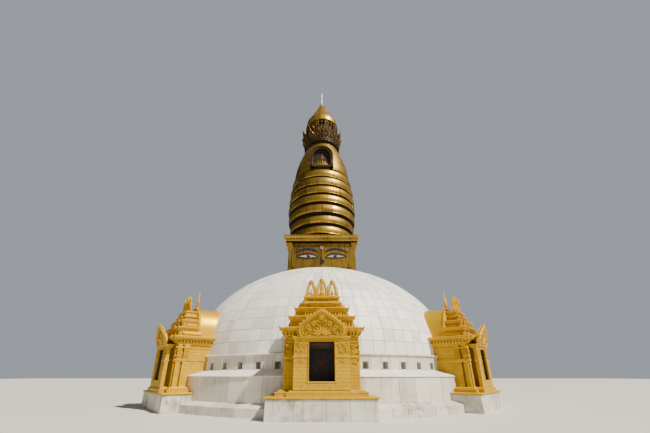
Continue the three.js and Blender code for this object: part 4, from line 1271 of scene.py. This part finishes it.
def eave_shapes(half, front, foot, top, under, back):
    """One eave: its moulding over a bayed plan, horns at its front corners, and drops under its lip."""
    lip = top - 0.055
    profile = [(-under, foot - 0.01), (-under * 0.9, foot + 0.02), (-under * 0.5, foot + 0.04),
               (-0.05, foot + 0.075), (-0.03, foot + 0.1), (-0.005, foot + 0.11), (0.0, foot + 0.13),
               (-0.01, lip - 0.01), (0.012, lip), (0.022, top - 0.02), (0.01, top), (-0.12, top + 0.015),
               (-0.3, top + 0.05)]
    plan = bay_plan(half, front, half - BAY_IN, front + 0.09, back)
    horns = [horn(half, -front, top - 0.01, (1, -1)),
             horn(half - BAY_IN, -front - 0.09, top - 0.01, (1, -1), 0.1),
             horn(half, -front + 0.62, top - 0.01, (1, 0), 0.1)]
    drop = turned([(0.006, -0.07), (0.03, -0.045), (0.03, -0.02), (0.012, 0.0)], 6)
    drops = [moved(drop, x, -front + 0.03, foot + 0.08) for x in np.arange(half - 0.3, half - 0.02, 0.09)]
    return [moulded(plan, profile)] + both_sides(horns + drops)


def cushion(half, front, foot, top, swell):
    """A bulging neck between two eaves: its depth follows half a sine over its height."""
    t = np.linspace(0, 1, 8)
    bulge = list(zip(swell * np.sin(np.pi * (0.12 + 0.8 * t)), foot + (top - foot) * t))
    plan = bay_plan(half, front, half - BAY_IN, front + 0.05, UPPER_BACK)
    return moulded(plan, [(-0.04, foot), *bulge, (-0.04, top)])


def bracket(x, depth, y):
    """A carved console: an S-shaped side view given the width, standing out from the wall under an eave."""
    height, width = 0.2, 0.075
    shares = np.array([(0, 0), (0.35, 0.25), (0.6, 0.6), (1, 1)])
    side = curve_through(shares * [-depth, height], 8)
    outline = np.concatenate([[(0.06, 0.0)], side, [(0.06, height)]])
    return moved(on_the_right(plate(outline[::-1], -width / 2, width, 0.004)), x, y, 3.27)


def upper_necks():
    """Half width, front, foot and top of the neck under each eave but the lowest."""
    return [(eave[4] + 0.02, eave[5] + 0.02, below[3], eave[2]) for below, eave in zip(EAVES[:-1], EAVES[1:])]


def frieze_ground():
    """Boxes in painted shade behind the upper necks' leaves, a band behind the brackets, and the top block's
    panels.
    """
    shapes = [moulded(CORNICE_PLAN, [(0.036, 3.345), (0.036, 3.47)])]
    for half, front, foot, top in upper_necks():
        plan = bay_plan(half, front, half - BAY_IN, front + 0.05, front - FRIEZE_RETURN)
        shapes.append(moulded(plan, [(0, foot), (0, top + 0.03)]))
    shapes.append(box((-0.31, -BLOCK_Y - 0.03, 4.965), (0.31, -BLOCK_Y, 5.08), 0.003))
    return shapes + both_sides([box((0.4, -BLOCK_Y - 0.012, 4.965), (0.745, -BLOCK_Y + 0.05, 5.08), 0.003)])


def frieze_leaves():
    """Upright leaves in a row along the front of each upper neck and round its corners."""
    shapes = []
    for half, front, foot, top in upper_necks():
        size = (foot + 0.04, math.pi / 2, top - foot - 0.03, 0.085)
        for x in np.arange(half - 0.05, 0.05, -0.13):
            face = front + 0.05 if x < half - BAY_IN else front
            shapes.append(petal(x, *size, -face - 0.004, 0.04))
        for y in 0.07 - front + 0.12 * np.arange(3):
            shapes.append(on_the_right(petal(y, *size, -half - 0.004, 0.04)))
    return both_sides(shapes)


# %% Vault, block, finials and spike
def vault_shapes():
    """Arch-shaped slices one behind the other: a rim in front, a smooth barrel, and a flare at the dome."""
    slices = ((-10.16, -0.1), (-10.16, 0.0), (-10.14, 0.05), (-10.09, 0.07), (-10.04, 0.05), (-10.02, 0.0),
              (-9.6, 0.0), (-9.3, 0.015), (-9.0, 0.055), (-8.9, 0.08), (-8.86, 0.06), (-8.4, 0.0))
    spring = 4.15
    barrel = ring_stack(np.array([upright(arch(1.3 + grow, 3.6, spring, 24), y) for y, grow in slices]))
    return [barrel, arched_frame(arch(1.18, 3.7, spring), arch(1.08, 3.7, spring), -10.19, 0.05)]


def block_shapes():
    """The top block with its sunk panels: a core, a foot and a cornice, and four upright fillets in front."""
    core = moulded(bay_plan(BLOCK_HALF, BLOCK_Y, 0.36, BLOCK_Y + 0.02, UPPER_BACK),
                   [(0, BLOCK_FOOT), (0, 5.12)])
    wide = BLOCK_HALF + 0.03
    foot = moulded(rectangle(-wide, wide, -BLOCK_Y - 0.05, -UPPER_BACK),
                   [(-0.02, 4.86), (0.02, 4.89), (0.02, 4.93), (-0.03, 4.96)])
    top = moulded(bay_plan(wide, BLOCK_Y + 0.04, 0.5, BLOCK_Y + 0.09, UPPER_BACK),
                  [(-0.03, 5.08), (0.0, 5.1), (0.03, 5.12), (0.04, 5.15), (0.04, 5.18), (0.0, BLOCK_TOP),
                   (-0.3, 5.21)])
    posts = [box((x, -BLOCK_Y - 0.045, 4.9), (x + 0.06, -BLOCK_Y, 5.12), 0.006) for x in (0.33, 0.75)]
    return [core, foot, top, *both_sides(posts)]


def finial_shapes(x, half, height):
    """A pointed hoop with flames along its edge and a bud on top, and a small vase that stands inside it."""
    foot, y = BLOCK_TOP, -10.63

    def hoop(shrink):
        """The hoop's pointed outline, drawn in by shrink."""
        wide = half - shrink
        right = curve_through([(wide, 0.0), (wide, height * 0.2), (half * 0.86 - shrink, height * 0.48),
                               (half * 0.4 - shrink * 0.7, height * 0.72),
                               (0.0, height * 0.86 - shrink * 1.7)], 12)
        return with_left(right) + [x, foot]

    shapes = [arched_frame(hoop(0.0), hoop(0.06), y, 0.08),
              arched_frame(hoop(0.055), hoop(0.11), y + 0.02, 0.045),
              box((x - half, y - 0.03, foot - 0.01), (x + half, y + 0.1, foot + 0.05), 0.008)]
    edge = hoop(0.005)[1:-1]
    # Each flame stands square to the edge, away from the middle, and is then tipped half a radian upwards.
    for place, direction in zip(edge, np.gradient(edge, axis=0)):
        angle = math.atan2(-direction[0], direction[1]) - math.pi
        angle = angle if math.cos(angle) * (place[0] - x) >= 0 else angle + math.pi
        lift = 0.5 * math.copysign(1.0, math.cos(angle))
        shapes.append(petal(*place, angle + lift, 0.105, 0.075, y + 0.035, 0.035))
    bud = [(0.03, -0.1), (0.07, -0.06), (0.045, -0.02), (0.08, 0.015), (0.09, 0.045), (0.065, 0.085),
           (0.025, 0.115), (0.004, 0.15)]
    vase = [(0.08, 0.03), (0.12, 0.06), (0.05, 0.09), (0.06, 0.12), (0.125, 0.18), (0.12, 0.24), (0.05, 0.29),
            (0.075, 0.33), (0.03, 0.37), (0.055, 0.42), (0.02, 0.47), (0.004, 0.56)]
    vase = np.array(vase) * (half / 0.26)
    return shapes + [moved(turned(bud, 8), x, y + 0.035, foot + height * 0.86),
                     moved(turned(vase, 12), x, y + 0.035, foot)]


def ridge_spike():
    """A spike of shrinking rings over a lotus foot, on the vault's crown."""
    rings = [(0.02, 5.34), (0.13, 5.36), (0.15, 5.42), (0.08, 5.47), (0.12, 5.52), (0.135, 5.6), (0.06, 5.66)]
    for index, z in enumerate(np.linspace(5.7, 6.32, 9)):
        radius = 0.135 - 0.011 * index
        rings += [(radius * 0.55, z - 0.02), (radius, z), (radius * 0.9, z + 0.02), (radius * 0.5, z + 0.035)]
    return moved(turned(rings + [(0.03, 6.4), (0.045, 6.45), (0.004, 6.6)], 14), y=-9.98)


def roof_shapes():
    """Brackets and cornice, the pile of eaves and cushions, and the top block."""
    cornice = [(-0.04, 3.2), (0.0, 3.21), (0.02, 3.24), (0.02, 3.28), (0.05, 3.3), (0.07, 3.34),
               (0.03, 3.36), (0.03, 3.46), (-0.04, 3.47)]
    shapes = [moulded(CORNICE_PLAN, cornice)]
    shapes += both_sides([bracket(x, 0.24, -11.14) for x in (1.13, 1.28, 1.43, 1.58)])
    shapes += both_sides([on_the_right(bracket(y, 0.2, -1.64)) for y in np.arange(-11.05, -9.5, 0.17)])
    for number, (half, front, foot, top, neck_half, neck_front) in enumerate(EAVES):
        under = half - neck_half
        shapes += eave_shapes(half, front, foot, top, under, UPPER_BACK if number else ROOF_BACK)
        if number:
            below = EAVES[number - 1][3] + 0.02
            shapes.append(cushion(neck_half - 0.03, neck_front - FRIEZE_RETURN, below, foot, under + 0.05))
    return shapes + frieze_leaves() + block_shapes()


# %% Seven shrines
finials = [part for x, half, height in ((-0.52, 0.215, 0.9), (0.0, 0.26, 1.0), (0.52, 0.215, 0.9))
           for part in finial_shapes(x, half, height)] + [ridge_spike()]
plinth = plinth_shapes()
walls = house_shapes()
# The gable's field plate is in painted shade, so its carving stands out light against it.
gable_ground = hung([plate(gable_outline(0.83), -0.004, 0.05)])
# All of these take shrine_shade: painted shade in the shrine's hollows, joints and carved grounds.
recesses = rough_walls() + carving_ground() + gable_ground + frieze_ground()
parts = [("plinth_slabs", plinth, "plinth_marble", "plinth"), ("walls", walls, "shrine_paint", "house"),
         ("carving", carving_shapes(), "shrine_paint", None), ("recesses", recesses, "shrine_shade", None),
         ("surround", portal_shapes() + gable_shapes(), "shrine_paint", "portal"),
         ("lining", lining_shapes(), "door_painted_shade", None), ("panel_red", red_shapes(), "door_red", None),
         ("panel_blue", blue_shapes(), "door_blue", None), ("eaves", roof_shapes(), "shrine_paint", "roof"),
         ("vault", vault_shapes(), "gilt_trim", None), ("finials", finials, "gilt_trim", None)]
for number in range(1, SHRINES + 1):
    angle = 2 * math.pi * (number - 1) / SHRINES
    for label, shapes, finish, node in parts:
        add_piece(f"shrine_{number}_{label}", [rotated(shape, angle) for shape in shapes], finish,
                  [f"shrine_{number}_{node}"] if node else [], smooth=35 if label == "vault" else 0)

# %% [markdown]
# ## Floor, light and camera
# The floor is plain and pale. One warm lamp stands high on the right, as the afternoon sun
# does, and a pale sky light fills the shadows. Gilding shows what it mirrors, and on the left
# that is deep sky, so the sky light is weaker on the side away from the lamp, while the
# background itself stays plain. The camera is at eye height, 25 m from the axis, and looks up
# through a very wide lens, so that the drum and the tip of the mast both fit.

# %% Floor
def add_object(name, data):
    """An object for a mesh, a lamp or a camera, in the scene."""
    holder = bpy.data.objects.new(name, data)
    bpy.context.scene.collection.objects.link(holder)
    return holder


FLOOR_HALF = 150.0
floor_mesh = bpy.data.meshes.new("floor")
corners = rectangle(-FLOOR_HALF, FLOOR_HALF, -FLOOR_HALF, FLOOR_HALF)
floor_mesh.from_pydata([(x, y, 0) for x, y in corners], [], [(0, 1, 2, 3)])
floor = add_object("floor", floor_mesh)
floor_shader = new_material("floor_pale", 0.0, 0.7)[1]
floor_shader.inputs["Base Color"].default_value = rgb(0.63, 0.61, 0.555)
floor_mesh.materials.append(FINISHES["floor_pale"])

# %% Sky light and sun
SUN_AZIMUTH, SUN_ELEVATION, SUN_STRENGTH, SUN_SIZE, SUN_COLOUR = 52, 50, 7.9, 2.0, (1.0, 0.93, 0.82)
SKY_COLOUR, SKY_WEAK, SKY_STRONG, SKY_PLAIN = rgb(0.72, 0.78, 0.86), 0.1, 0.72, 0.48


def studio_sky():
    """Strength = weak + (strong - weak) ((1 + c) / 2)^2, where c is the cosine of the angle from the sun."""
    world = bpy.data.worlds.new("studio")
    world.use_nodes = True
    tree = world.node_tree
    seen = add_node(tree, "ShaderNodeTexCoord").outputs["Generated"]
    bearing = (math.sin(math.radians(SUN_AZIMUTH)), -math.cos(math.radians(SUN_AZIMUTH)), 0.0)
    cosine = add_node(tree, "ShaderNodeVectorMath", {0: seen, 1: bearing}, operation="DOT_PRODUCT")
    half = maths(tree, "MULTIPLY_ADD", cosine.outputs["Value"], 0.5, 0.5)
    squared = maths(tree, "MULTIPLY", half, half)
    strength = maths(tree, "MULTIPLY_ADD", squared, SKY_STRONG - SKY_WEAK, SKY_WEAK)
    fill, backdrop = (add_node(tree, "ShaderNodeBackground", {"Color": SKY_COLOUR, "Strength": value})
                      for value in (strength, SKY_PLAIN))
    camera_ray = add_node(tree, "ShaderNodeLightPath").outputs["Is Camera Ray"]
    shares = {0: camera_ray, 1: fill.outputs[0], 2: backdrop.outputs[0]}
    mixed = add_node(tree, "ShaderNodeMixShader", shares).outputs[0]
    tree.links.new(mixed, tree.nodes["World Output"].inputs["Surface"])
    return world


def sun_lamp(azimuth, elevation):
    """A distant lamp: azimuth is measured from the front towards +X, both in degrees."""
    lamp = bpy.data.lights.new("key", "SUN")
    lamp.energy, lamp.angle, lamp.color = SUN_STRENGTH, math.radians(SUN_SIZE), SUN_COLOUR
    a, e = math.radians(azimuth), math.radians(elevation)
    towards = Vector((math.sin(a) * math.cos(e), -math.cos(a) * math.cos(e), math.sin(e)))
    add_object("key", lamp).rotation_euler = towards.to_track_quat("Z", "Y").to_euler()


bpy.context.scene.world = studio_sky()
sun_lamp(SUN_AZIMUTH, SUN_ELEVATION)

# %% Camera
CAMERA_DISTANCE, EYE_HEIGHT, PITCH = 25.0, 1.7, 22.8
camera = bpy.data.cameras.new("camera")
camera.sensor_width, camera.lens, camera.clip_end = 36.0, 16.6, 500.0
camera.shift_x, camera.shift_y = 0.005, 0.05
eye = add_object("camera", camera)
eye.location = (0.0, -CAMERA_DISTANCE, EYE_HEIGHT)
eye.rotation_euler = (math.radians(90 + PITCH), 0.0, 0.0)
bpy.context.scene.camera = eye
